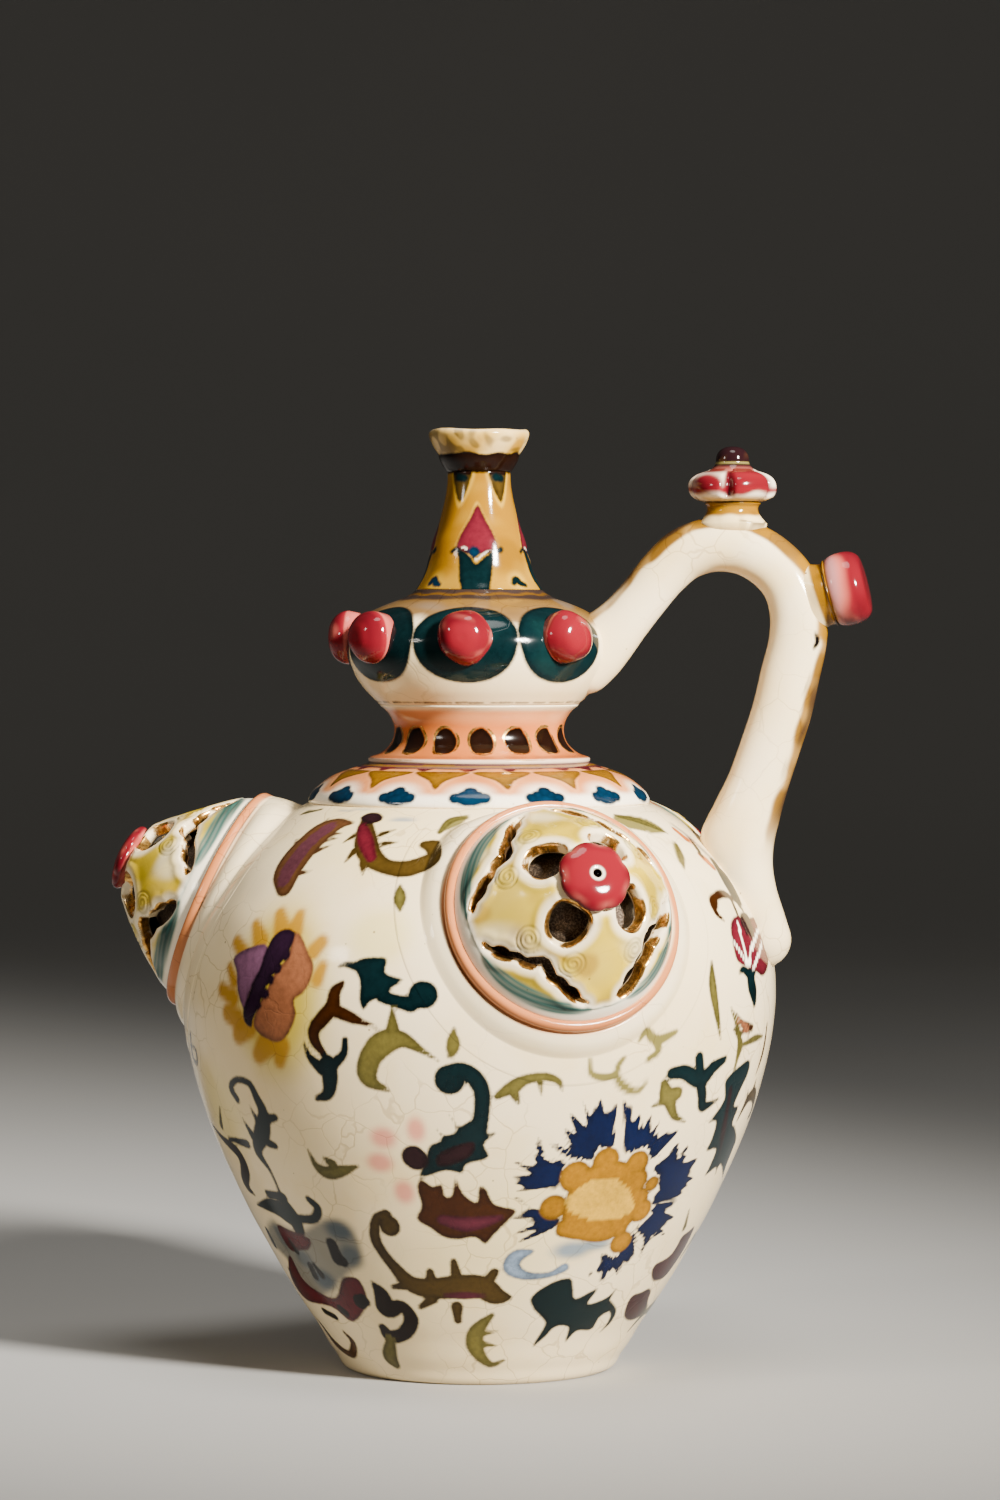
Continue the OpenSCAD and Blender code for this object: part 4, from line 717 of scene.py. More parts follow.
def bare_clay(name):
    """Unglazed fired clay: buff, with darker grains and a matt, faintly gritty face."""
    b = Bench(name)
    place = b.place
    grit = b.noise(place, 1500.0, 4.0, 0.65)
    fire = b.noise(place, 60.0, 2.0)
    tone = b.mix(b.ease(grit, 0.35, 0.7), (0.42, 0.30, 0.19), (0.62, 0.48, 0.33))
    b.feed(Base_Color=b.mix(b.ease(fire, 0.4, 0.7, 0.0, 0.4), tone, (0.50, 0.30, 0.17)), Roughness=0.75 + 0.15 * grit,
        Normal=b.bump(grit, 0.5, 0.0003))
    return b.material


IVORY = glaze("ivory_glaze", craze=0.55, specks=0.6)
CREAM = glaze("cream_glaze", craze=0.1, specks=0.5, polish=0.12)
BANDED = glaze("painted_ring_glaze", craze=0.15, specks=0.3)
SALMON = glaze("salmon_glaze", craze=0.0, specks=0.25, polish=0.14)
OCHRE = glaze("ochre_glaze", craze=0.1, specks=0.9, wander=0.45)
PINK = glaze("pink_glaze", craze=0.0, specks=0.15, polish=0.07, wander=0.8)
PLUM = glaze("plum_glaze", craze=0.0, specks=0.0, polish=0.06)
BRONZE = bronze("bronze_lustre")
CLAY = bare_clay("bare_clay")


# ---------------------------------------------------------------- bosses: places and the body's skin
def boss_axes(turn):
    """Middle of a boss's foot and its three directions: level, up the slope, and out."""
    a, e = np.radians(turn), np.radians(BOSS_TILT)
    out = np.array([np.cos(a) * np.cos(e), np.sin(a) * np.cos(e), np.sin(e)])
    level = np.array([-np.sin(a), np.cos(a), 0.0])
    return np.array([np.cos(a) * BOSS_OUT, np.sin(a) * BOSS_OUT, BOSS_Z]), np.stack([level, np.cross(out, level), out])


# the body's outline, carried on over the shoulder ring
BODY_LINE = np.vstack([flowing(BODY_OUT, SPAN), [[37.9, 127.2], [36, 130], [30, 133.6], [24.5, 135.5], [20, 138]]])


def skin_height(turn, r, th):
    """Height of the body's skin over a boss's foot plane at polar (r, th): bisection between 8 mm out and 26 mm in."""
    middle, axes = boss_axes(turn)
    base = middle + polar(r, th, 0) @ axes
    low, high = np.full(r.shape, -26.0), np.full(r.shape, 8.0)
    for _ in range(26):
        h = (low + high) / 2
        p = base + h[..., None] * axes[2]
        inside = np.hypot(p[..., 0], p[..., 1]) < np.interp(p[..., 2], BODY_LINE[:, 1], BODY_LINE[:, 0])
        low, high = np.where(inside, h, low), np.where(inside, high, h)
    return (low + high) / 2


# ---------------------------------------------------------------- body
def make_body():
    """Outer outline evenly turned round the axis, drawn inward under the bosses; the wall returns inside to the floor,
    and the hollow under the foot closes it. The thrower's ripple moves the radius by up to 0.12 mm, inward on the
    whole."""
    a = turns(345, 150)
    skin = even(BODY_OUT, 172)
    line = np.vstack([FOOT_IN, skin, BODY_IN])
    below, above = len(FOOT_IN), len(BODY_IN)
    run = lengths(skin)
    s = np.concatenate([np.full(below, -6.0), run, np.full(above, run[-1] + 6)])[:, None]
    r, z = line[:, :1], line[:, 1:]
    grid = polar(r, a, z)
    outer = np.zeros((len(line), 1), bool)
    outer[below:below + len(skin)] = True
    wave = 0.12 * (clouds(grid, 3, 55) - 1) * outer * smooth(0, 12, z) * fade(118, 126, z)
    grid += polar(wave, a, 0)
    for _, turn, _ in BOSSES:
        middle, axes = boss_axes(turn)
        q = (grid - middle) @ axes.T
        hidden = fade(22.0, 25.5, np.hypot(q[..., 0], q[..., 1])) * (q[..., 2] > -20) * outer
        grid -= (hidden * np.maximum(q[..., 2] + 5.0, 0))[..., None] * axes[2]
    coat = Coat(a, r, s)
    paint_body(coat)
    points = np.vstack([grid.reshape(-1, 3), [0, 0, FOOT_IN[0][1]], [0, 0, BODY_IN[-1][1]]])
    cast("jug_body", points, capped(*grid.shape[:2]), coat, IVORY, "body")


# marks of the upper layer, marks that are soft stains (their edge and strength), colours that a mark is laid in instead
# of its own, and those that change on the far side
OVER = {"rose", "rose_deep", "plum", "amber", "butter", "violet", "black", "white"}
STAIN = {"ochre_deep": (0.8, 0.95), "olive_pale": (0.4, 1.0), "slate": (1.3, 0.8)}
GOLD = {"ochre_deep": "honey"}
SWAP = {"blue": "maroon", "plum_rose": "teal_mid", "maroon": "blue", "crimson": "terracotta", "terracotta": "crimson",
    "mauve": "greyblue_line"}
SPRIGS = [(-168, 60, "olive"), (168, 66, "teal"), (176, 34, "olive"), (-177, 48, "umber_olive"),
    (12, 46, "olive"), (-6, 60, "umber_olive"), (3, 28, "teal"), (16, 74, "olive"), (-3, 12, "olive"),
    (180, 16, "umber_olive")]


def paint_body(coat):
    """Lays every mark twice: as listed on the side of the front boss, and mirrored on the far side with some colours
    changed, so that the ornament goes right round."""
    x, y, z = coat.radius * np.cos(coat.turn), coat.radius * np.sin(coat.turn), coat.along
    coat.flood("ivory_warm", 0.4 + 0.35 * ripple(x, y, z, 11, 60))
    coat.flood("lemon", 0.2 * smooth(0.3, 1.0, ripple(x, y, z, 12, 75)))
    whites = [group for group in BODY_STROKES if group[0] == "white"]
    for side, shift, swap in ((1, 0, {}), (-1, 1.5, SWAP)):
        for colour, turn, high, rx, ry, strength in BODY_WASHES:
            y = height_to_length(BODY_OUT, high)
            coat.wash(swap.get(colour, colour), np.radians(side * turn + shift), y, rx, ry, strength)
        for groups, lay in ((BODY_STROKES, coat.brush), (BODY_FIELDS, coat.field), (whites, coat.brush)):
            for kind, marks in groups:
                colour = GOLD.get(kind, swap.get(kind, kind))
                for points in marks:
                    place(coat, lay, kind, colour, points, side, shift)
    for turn, high, colour in SPRIGS:
        sprig(coat, colour, turn, high)


def place(coat, lay, kind, colour, points, side, shift):
    """Lays a mark given in turns and heights about its own middle, as distances round and along the skin. White lines
    are a quarter as wide as listed, and the blue bloom has a frilled edge about the middle of the flower."""
    p = np.asarray(points, float)
    turn0 = (p[:, 0].max() + p[:, 0].min()) / 2
    x = side * np.radians(p[:, 0] - turn0) * radius_at(BODY_OUT, p[:, 1])
    mark = np.column_stack([x, height_to_length(BODY_OUT, p[:, 1]), p[:, 2:]])
    soft, strength = STAIN.get(kind, (0, 1))
    if kind == "white":
        mark[:, 2] *= 0.25
    if kind == "blue":
        coat.frill = (np.radians(side * -50.0 + shift), height_to_length(BODY_OUT, 43.0), 72, 1.5)
    lay(colour, mark, np.radians(side * turn0 + shift), over=kind in OVER, soft=soft, strength=strength)
    coat.frill = None


def sprig(coat, colour, turn, z):
    """A small scrolling leaf: a curl and two leaflets."""
    y = height_to_length(BODY_OUT, z)
    t = np.radians(turn)
    curl = [(-7, -3, 0.3), (-4, 1.5, 1.2), (0, 2.6, 1.7), (4, 1, 1.4), (5.5, -1.8, 1.1), (3.6, -3.2, 0.7)]
    for p in (curl, [(-1, 2.4, 1.3), (-0.4, 6, 0.3)], [(-4, 1, 1.0), (-5.6, 4.2, 0.2)]):
        coat.brush(colour, p, t, y)


# ---------------------------------------------------------------- thrown rings above the body
def make_shoulder():
    """Domed shoulder with fourteen painted arches: blue florets in each on white, salmon arches, ochre points between
    them, a dark band with rose scallops under the collar, and worn gold on the lip."""
    grid, coat, _, s, total = thrown(RING_OUT, RING_IN, RING_Z, 34, 420, 200, "salmon_pale")
    cloud = clouds(grid, 22, 14)
    coat.flood("salmon", 0.45 + 0.3 * cloud)
    coat.flood("white", 0.95 * fade(2.2, 4.2, s))
    arches, scallops = 14, 17
    step = TURN / arches
    arch = [(-6.9, 13.2), (0, 13.2), (6.9, 13.2), (6.0, 10.9), (2.5, 7.6), (0.3, 3.2), (-2.4, 7.6), (-6.0, 10.9)]
    point = [(-6.0, 12.6), (0, 12.8), (6.0, 12.6), (5.4, 10.6), (2.0, 7.9), (0.2, 4.9), (-2.0, 7.9), (-5.4, 10.6)]
    for k in range(arches):
        c = np.radians(-83.5) + k * step
        rng = np.random.default_rng(180 + k)
        coat.wash("white", c, 2.6, 6.6, 5.0, 0.9)
        coat.oval("blue_mid", c, 2.1, 3.9, 1.6)
        tip = rng.uniform(-0.4, 0.4)
        for x, y, r in ((-3.0, 2.5, 1.45), (3.0, 2.5, 1.45), (tip, 4.2, 1.6), (-1.5, 3.2, 1.4), (1.5, 3.2, 1.4)):
            coat.oval("blue_mid", c + x / 36, y, r * 1.12, r)
        h = c + step / 2
        w = rng.uniform(0.95, 1.08)
        coat.field("salmon_pale", arch, h, soft=0.5, strength=0.8)
        coat.field("ochre_deep", np.array(point) * [w, 1], h, over=True)
    coat.band("plum_rose", total - 3.0, total + 3, 0.2, 11, over=True)
    for k in range(scallops):
        rng = np.random.default_rng(200 + k)
        w = rng.uniform(0.9, 1.7) * 1.3
        deep = rng.uniform(0, 0.6)
        scallop = [(-w, total - 2.6, 0.5), (0, total - 3.2 - deep, 1.0), (w, total - 2.6, 0.5)]
        coat.brush("rose_deep", scallop, k * TURN / scallops + rng.uniform(-0.06, 0.06), over=True)
    coat.band("ochre_deep", total - 1.6, total - 0.9, 0.2, 8, over=True)
    worn = 0.7 + 0.5 * np.sin(coat.turn * 9) * np.sin(coat.turn * 4)
    coat.gilt = 0.62 * fade(0.1, 0.4, np.abs(coat.along - 0.15)) * worn
    cast("jug_shoulder", grid, hoop(grid), coat, BANDED, "shoulder_ring")


def make_collar():
    """Waisted collar: fifteen dark ovals, flat below and outlined in gold, on salmon that pales to cream at the
    ridge."""
    grid, coat, _, s, total = thrown(COLLAR_OUT, COLLAR_IN, COLLAR_Z, 36, 400, 190, "salmon")
    cloud = clouds(grid, 21, 11)
    coat.flood("salmon_pale", 0.9 * smooth(total - 6.5, total - 2.5, s) + 0.25 * cloud)
    coat.flood("ivory", smooth(total - 2.3, total - 0.9, s))
    coat.flood("rose", 0.3 * fade(2.2, 4.0, s) * (0.7 + 0.3 * cloud))
    coat.flood("white", 0.5 * fade(0.9, 1.5, s))
    drops, y0 = 15, 7.5
    for k in range(drops):
        c = np.radians(-79) + k * TURN / drops
        rng = np.random.default_rng(230 + k)
        w, lean = rng.uniform(1.0, 1.14), rng.uniform(-0.6, 0.6)
        shape = np.array([(-2.75, 0.3), (-2.5, 2.0), (-1.2, 3.3), (0.4 + lean, 3.6), (1.8, 2.5), (2.7, 0.8),
            (2.7, -1.4), (1.8, -3.0), (-0.2, -3.3), (-2.0, -2.6)]) * [w, 1]
        coat.field("brown_dark", shape, c, y0)
        near, x, y = coat.around(-3.5, 3.5, -4, 4, c, y0)
        d = loop_distance(x - 0.12, y - 0.1, flowing(shape, 4, closed=True))
        gold = (0.85 + 0.4 * np.sin(3 * np.arctan2(y, x) + k)) * fade(0.12, 0.42, np.abs(d - 0.18))
        coat.gilt[near] = np.maximum(coat.gilt[near], gold)
    worn = 0.6 + 0.6 * np.sin(coat.turn * 5)
    coat.gilt = np.maximum(coat.gilt, 0.55 * fade(0.1, 0.35, np.abs(coat.along - 1.1)) * worn)
    cast("jug_collar", grid, hoop(grid), coat, SALMON, "collar")


def make_bulb():
    """Bulb: seven dark green ovals behind the beads, ochre between their tops, a purple-brown ring at the foot of the
    neck, ivory below, and a broken brown line on its lower edge."""
    grid, coat, t, s, total = thrown(BULB_OUT, BULB_IN, BULB_Z, 84, 400, 200, "ivory")
    mess = clouds(grid, 31, 24)
    coat.flood("ivory_warm", 0.45 + 0.3 * mess)
    ragged = smooth(total - 17.5, total - 13.5, s + 1.6 * mess + 0.8 * np.sin(17 * t))
    coat.flood("ochre_deep", 0.95 * ragged * fade(total + 1, total + 2, s))
    coat.flood("greyblue", 0.2 * smooth(0.1, 0.9, clouds(grid, 32, 15)) * smooth(total - 12, total - 9, s))
    coat.flood("brown", 0.35 * smooth(0.3, 1.0, clouds(grid, 33, 9)) * smooth(total - 15, total - 11, s))
    y0 = height_to_length(BULB_OUT, BEAD_Z - BULB_Z)
    for k in range(7):
        c = np.pi + np.radians((k - 3) * BEAD_STEP)
        near, x, y = coat.around(-12.5, 12.5, -11, 11, c, y0)
        lump = 1 + 0.012 * np.sin(3 * np.arctan2(y, x) + k)
        # an oval that comes to a blunt point above: the exponent of its two shares falls from 2.05 to 1.65
        p = 2.05 - 0.4 * smooth(-1, 4, y)
        rho = (np.abs(x / 12.1) ** p + np.abs((y + 0.3) / 10.4) ** p) ** (1 / p)
        coat.lay("teal", near, (rho / lump - 1) * 10.4)
        coat.wash("greyblue", c, y0, 13.0, 11.4, 0.15)
        grain = smooth(0.2, 1.4, clouds(grid, 34 + k, 13)).ravel()[near]
        inside = fade(-2.2, -0.8, coat.line[near])
        coat.paint[near] += (0.3 * grain * inside)[:, None] * (GLAZE["teal_mid"] - coat.paint[near])
    coat.flood("plum_grey", 0.95 * smooth(total - 5.4, total - 3.6, s + 0.3 * np.sin(9 * t)))
    coat.flood("ochre_deep", 0.7 * fade(0.2, 0.7, np.abs(s - total + 1.7 + 0.3 * np.sin(13 * t))))
    rng = np.random.default_rng(5)
    dashes = 40
    for k in range(dashes):
        c = k * TURN / dashes + rng.uniform(-0.05, 0.05)
        w = rng.uniform(0.1, 0.26)
        coat.brush("brown_dark", [(-1.5, 0, w), (0.4, rng.uniform(-0.15, 0.15), w), (1.5, 0, w * 0.6)], c, 0.9)
    cast("jug_bulb", grid, hoop(grid), coat, IVORY, "bulb")


def make_neck():
    """Tapering neck on an ochre ground that pales round the marks: four pink buds in dark green cups, five drops
    hanging from the mouth, and small dark florets at the foot."""
    grid, coat, _, s, total = thrown(NECK_OUT, NECK_IN, NECK_Z, 76, 300, 150, "ochre")
    coat.flood("butter", 0.3 * smooth(0.1, 1.1, clouds(grid, 41, 9)))
    coat.flood("ochre_deep", 0.5 * smooth(0.1, 1, clouds(grid, 42, 12)))
    coat.flood("butter", 0.3 * fade(1.5, 6.5, s))
    halo = [(-4.9, 9.4), (-4.4, 11.6), (-3.3, 14.0), (-1.5, 17.3), (0, 20.6), (1.8, 17.3), (3.5, 14.0), (4.5, 11.6),
        (4.9, 9.4), (2.2, 8.2), (-2.2, 8.2)]
    bud = [(-4.5, 9.7), (-4.3, 11.5), (-3.2, 13.9), (-1.5, 16.9), (0.2, 20.0), (1.9, 16.9), (3.6, 13.9), (4.6, 11.5),
        (4.8, 9.7), (2.2, 8.4), (0, 8.6), (-2.2, 8.6)]
    edge = [(-4.3, 8.9, 0.3), (-2.8, 9.9, 0.26), (-1.3, 8.7, 0.3), (0.1, 7.4, 0.32), (2.4, 8.8, 0.26), (4.2, 9.0, 0.3)]
    cup = [(-4.3, 9.1), (-4.0, 7), (-3.8, 3), (-3.4, 1), (-2.9, -0.8), (0, -1.2), (2.9, -0.8), (3.5, 1.5), (3.8, 5),
        (4.2, 8), (4.3, 8.7), (2.4, 8.3), (0.9, 7.0), (0.0, 6.4), (-1.2, 7.9), (-2.8, 9.3)]
    for k in range(4):
        c = np.radians(-84 + 90 * k)
        coat.field("butter", halo, c, soft=0.45, strength=0.95)
        coat.wash("butter", c, 5.0, 5.2, 5.5, 0.5)
        coat.field("rose_deep", bud, c)
        coat.brush("white", edge, c, over=True)
        coat.field("teal", cup, c, over=True)
        coat.brush("teal", [(-3.3, 8.6, 0.6), (-4.5, 9.6, 0.55), (-5.8, 9.0, 0.4)], c, over=True)
        coat.brush("teal", [(3.3, 8.4, 0.6), (4.5, 9.0, 0.5), (5.6, 9.5, 0.75)], c, over=True)
        coat.brush("blue_mid", [(-0.5, 9.0, 1.25), (-0.4, 8.9, 1.25)], c, over=True)
        d = c + np.radians(45)
        coat.wash("butter", d, 2.0, 3.2, 3.0, 0.8)
        floret = [(-1.5, 1.6, 0.7), (-0.4, 2.5, 1.0), (0.6, 1.6, 0.9), (1.9, 1.2, 0.6)]
        coat.brush("blue_mid" if k % 2 else "teal", floret, d)
    for k in range(5):
        c = np.radians(-42 + 72 * k)
        pale = [(-2.9, 1), (-2.5, -3.5), (0, -8.3), (2.5, -3.5), (2.9, 1)]
        coat.field("butter", pale, c, total, soft=0.5, strength=0.8)
        coat.field("umber_olive", [(-2.4, 1), (-1.9, -3.3), (0, -7.1), (1.9, -3.3), (2.4, 1)], c, total)
        coat.brush("teal", [(-0.8, -1.4, 1.0), (0.7, -1.6, 0.9)], c, total, over=True)
    coat.band("brown_dark", total - 0.5, total + 3)
    cast("jug_neck", grid, hoop(grid), coat, OCHRE, "neck")


def make_mouth():
    """Flared drinking cup: a dark ring below, cream above, stained ochre and brown at its rim and down inside."""
    grid, coat, t, s, _ = thrown(MOUTH_OUT, MOUTH_IN, MOUTH_Z, 40, 190, 90, "ivory_warm")
    rim = 0.16 * np.sin(2 * t + 0.6) + 0.1 * np.sin(5 * t)
    grid[..., 2] += (rim - 0.26) * smooth(206.5, 209.5, grid[..., 2])
    mess = clouds(grid, 51, 7)
    coat.flood("butter", 0.75 + 0.25 * mess)
    cup = smooth(4.0, 5, s)
    coat.flood("ochre", 0.7 * smooth(0.1, 0.9, mess + 0.5 * np.cos(t - 0.3)) * cup * fade(7.5, 9.5, s))
    stain = smooth(0.35, 1.0, clouds(grid, 52, 4) + 0.6 * np.cos(t + 2.2))
    coat.flood("umber_olive", 0.6 * stain * cup * fade(10.5, 12.5, s))
    coat.flood("brown_dark", 0.35 * smooth(0.8, 1.2, clouds(grid, 53, 2.6)))
    ragged = 0.35 * ripple(np.cos(t) * 9, np.sin(t) * 9, 0, 54, 3.5)
    coat.lay("brown_dark", np.arange(coat.line.size), (s - 4.5 - ragged).ravel())
    coat.flood("white", 0.5 * smooth(9.5, 11.5, s) * (0.6 + 0.4 * mess))
    cast("jug_mouth", grid, hoop(grid), coat, CREAM, "mouthpiece")


# ---------------------------------------------------------------- beads and knobs
def button(name, profile, origin, axes, lobes, material, node, painter, seed, sink=2.5, count=96, hole=None):
    """A moulded button in its own frame: an outline turned round, its radius swelled by rounded lobes and by a soft
    ripple of about 2%, closed at the top by a pole or by a pinhole, and sunk a little into what carries it."""
    a = np.linspace(0, TURN, count, endpoint=False)[None]
    skin = even(profile, 40)
    if hole:
        skin = np.vstack([skin, [[hole, skin[-1, 1] - 0.25], [hole, skin[-1, 1] - 2.4]]])
    skin = np.vstack([[skin[0, 0] * 0.92, skin[0, 1] - sink], skin])
    r, h = skin[:, :1], skin[:, 1:]
    level = smooth(0, 0.35, r / skin[:, 0].max())
    r = r * (1 + level * (lobes(a, h) + 0.018 * mottle(a, r, h, seed, 9)))
    grid = polar(r, a, h) @ axes + origin
    coat = Coat(a, r, lengths(skin)[:, None], "pink")
    painter(coat, a, r, h + 0 * a)
    ends = np.array([[0, 0, skin[0, 1]], [0, 0, skin[-1, 1]]]) @ axes + origin
    points = np.vstack([grid.reshape(-1, 3), ends])
    cast(name, points, capped(len(skin), count), coat, material, node)


def make_beads():
    """Seven cabochons, slightly squarish and each a little different, pale at the foot and crimson on the crown."""
    profile = [(6.1, 0), (6.0, 0.9), (5.6, 1.95), (4.95, 2.9), (4.0, 3.7), (2.75, 4.3), (1.4, 4.57), (0.25, 4.6)]
    for k in range(1, 8):
        turn = np.pi + np.radians((k - 4) * BEAD_STEP)
        out = np.array([np.cos(turn), np.sin(turn), 0.0])
        axes = np.stack([[-np.sin(turn), np.cos(turn), 0.0], [0, 0, 1.0], out])
        p2, p3, p5 = np.random.default_rng(60 + k).uniform(0, TURN, 3)

        def lobes(a, h, p2=p2, p3=p3, p5=p5):
            return -0.02 + 0.018 * np.cos(2 * a + 0.3 * p2) + 0.02 * np.cos(3 * a + p3) + 0.018 * np.cos(5 * a + p5)

        def painter(coat, a, r, h, p2=p2, p5=p5):
            crown = smooth(0.6, 2.0, h) * fade(3.4, 4.6, h)
            coat.flood("crimson", 0.75 * crown * (0.65 + 0.35 * np.sin(a + p2)))
            pale = smooth(0.4, 1.2, mottle(a, r, h, 70 + int(10 * p2), 7))
            coat.flood("pink_pale", 0.45 * pale * fade(2.6, 4.2, h))
            coat.flood("pink_pale", 0.55 * fade(0.0, 0.5, h))
            dark = smooth(0.3, 1.0, mottle(a, r, h, 90 + int(10 * p5), 5))
            coat.flood("umber", 0.3 * dark * fade(1.5, 3, h))
        root = out * BEAD_ROOT + [0, 0, BEAD_Z]
        button(f"bead_{k}_glazed", profile, root, axes, lobes, PINK, f"bead_{k}", painter, 60 + k, count=80)


def make_knobs():
    """Lobed pink knob on each dome: crimson at the dips, white round its pinhole and in spots at the foot, and dark
    brown in the pinhole as painted shade of its depth.
    """
    profile = [(6.9, 0), (7.5, 0.7), (7.5, 1.5), (6.9, 2.4), (5.6, 3.05), (3.8, 3.4), (1.9, 3.5), (1.0, 3.4)]
    for name, turn, pattern in BOSSES:
        middle, axes = boss_axes(turn)

        def petal(a, p=np.radians(pattern)):
            return np.abs(np.cos(3.5 * (a - p) + 0.4))

        def lobes(a, h, petal=petal):
            return -0.055 + 0.075 * petal(a) ** 0.7 * smooth(3.4, 1.6, h) + 0.02 * np.cos(2 * a + 1.2)

        def painter(coat, a, r, h, petal=petal):
            near = petal(a)
            side = smooth(0.2, 1.2, h) * fade(1.8, 3.3, h)
            coat.flood("crimson", 0.5 * side + 0.25 * mottle(a, r, h, 80, 6))
            coat.flood("pink_pale", 0.9 * fade(0.1, 0.9, h) * (1 - 0.6 * near))
            coat.flood("pink_pale", 0.35 * smooth(5.6, 7.0, r) * smooth(1.2, 2.2, h) * (1 - near))
            coat.flood("white", 0.85 * fade(1.35, 1.9, r) * (h > 1.5))
            # painted shade: dark brown on the wall and edge of the pinhole, standing in for the hole's depth
            coat.flood("brown_dark", fade(0.92, 1.08, r) * (h > 0.5))
        button(f"{name}_knob_glazed", profile, middle + KNOB_UP * axes[2], axes, lobes, PINK, f"{name}_knob", painter,
            80 + int(pattern), sink=1.2, hole=0.9, count=120)


def knob_root():
    """Foot of the outer knob's stem, and the direction in which it stands off the handle."""
    e = np.radians(KNOB_TILT)
    out = np.array([np.cos(e), 0, np.sin(e)])
    return np.array([BEND_X, 0, BEND_Z]) + KNOB_REACH * out, out


def make_finial():
    """Ochre stem, five-petalled flower with a fat rolled rim, and a dark bead, above the handle, and the outer knob on
    its side. Both stems spread along the handle at their foot, where their radius grows by up to a fifth in its plane
    and shrinks across it."""
    up = np.eye(3)

    def spread(along):
        """Share of the radius gained at a turn and height, where the handle runs along the turn `along`."""
        def lobes(a, h):
            wide, narrow = 0.22 * fade(-2.2, 1.7, h), 0.17 * fade(-3.4, -0.2, h)
            return -0.02 + wide * np.cos(a - along) ** 2 - narrow * np.sin(a - along) ** 2
        return lobes

    def stem(coat, a, r, h):
        mess = mottle(a, r, h, 90, 5)
        coat.flood("ochre", 1.0)
        coat.flood("ivory_warm", fade(-0.1, 0.8, h + 0.2 * mess))
        coat.flood("umber", 0.3 * smooth(0.2, 0.9, mess) * fade(0.9, 2.0, h))
        line = np.abs(h + 1.0 - 0.25 * np.sin(3 * a) - 0.2 * mess)
        coat.flood("brown", 0.85 * fade(0.08, 0.25, line) * smooth(-0.2, 0.3, np.sin(2 * a + 2.4)))
        coat.flood("ochre_deep", 0.5 * smooth(2.2, 3.4, h))
    profile = [(6.6, -1.4), (6.1, -0.2), (5.85, 0.8), (5.7, 1.7), (5.8, 2.5), (6.3, 3.3), (3.0, 3.5), (0.3, 3.5)]
    button("finial_stem_glazed", profile, np.array([FINIAL_X, 0, STEM_Z]), up, spread(0.0), OCHRE, "finial_stem", stem,
        91, sink=2.0)

    def crease(a):
        """0 in the five creases between the petals, 1 at the middle of each."""
        return np.abs(np.sin(2.5 * (a + np.pi / 2)))

    def petals(a, h):
        return -0.02 - 0.17 * fade(0.0, 0.55, crease(a)) * smooth(0.3, 1.6, h)

    def flower(coat, a, r, h):
        near = crease(a)
        lobe = np.floor(5 * (a + np.pi / 2) / TURN)
        mess = mottle(a, r, h, 97, 7)
        coat.flood("crimson", 0.45 * smooth(2.4, 3.6, h) * fade(4.6, 6.2, h))
        pale = smooth(0.1, 0.8, np.sin(2.2 * lobe + 0.4) + 0.5 * mess)
        coat.flood("white", 0.7 * pale * smooth(0.12, 0.4, near) * smooth(2.6, 3.8, h))
        coat.flood("white", 0.75 * fade(1.3, 2.5, h + 0.5 * mess))
        coat.flood("butter", 0.75 * fade(0.4, 1.5, h))
        coat.flood("crimson", 0.9 * fade(0.08, 0.3, near) * smooth(0.3, 1.2, h))
        coat.flood("umber", 0.55 * smooth(6.2, 7.2, h))
    profile = [(5.6, 0), (7.4, 0.25), (9.1, 1.1), (9.85, 2.4), (9.9, 3.7), (9.4, 5.0), (8.2, 6.0), (6.7, 6.6),
        (5.4, 7.0), (4.9, 7.35), (2, 7.4), (0.3, 7.4)]
    button("finial_flower_glazed", profile, np.array([FINIAL_X, 0, FLOWER_Z]), up, petals, PINK, "finial_flower",
        flower, 92, sink=0.4, count=160)

    def bead(coat, a, r, h):
        coat.flood("plum", 1.0)
        coat.flood("umber", 0.6 * smooth(0.0, 1.0, mottle(a, r, h, 98, 5)))
        coat.flood("pink_pale", 0.5 * fade(-0.6, 0.9, h))
        coat.flood("olive_pale", 0.95 * fade(0.1, 0.34, np.abs(h - 1.25)))
    profile = [(5.3, -0.6), (4.7, 0.0), (4.1, 0.7), (3.8, 1.4), (3.75, 2.2), (3.5, 3.2), (2.8, 4.15), (1.7, 4.75),
        (0.2, 5.0)]
    button("finial_bead_glazed", profile, np.array([FINIAL_X, 0, TIP_Z]), up, lambda a, h: -0.02, PLUM, "finial_bead",
        bead, 93, sink=0.6)
    root, out = knob_root()
    across = np.array([0, 1.0, 0])
    axes = np.stack([across, np.cross(out, across), out])

    def waist(coat, a, r, h):
        coat.flood("ochre", 1.0)
        coat.flood("umber_olive", 0.35 * smooth(0.2, 1, mottle(a, r, h, 99, 5)))
        coat.flood("ivory_warm", fade(-1.1, -0.3, h + 0.5 * np.sin(a)))
        coat.flood("brown", 0.9 * fade(0.15, 0.5, np.abs(h - 1.95 - 0.15 * np.sin(2 * a))))
    profile = [(6.5, -2.4), (6.45, -1.2), (6.6, -0.2), (6.9, 0.8), (7.2, 1.6), (7.5, 2.25), (3, 2.3), (0.3, 2.3)]
    button("knob_stem_glazed", profile, root, axes, spread(np.pi / 2), OCHRE, "knob_stem", waist, 94, sink=2.0)

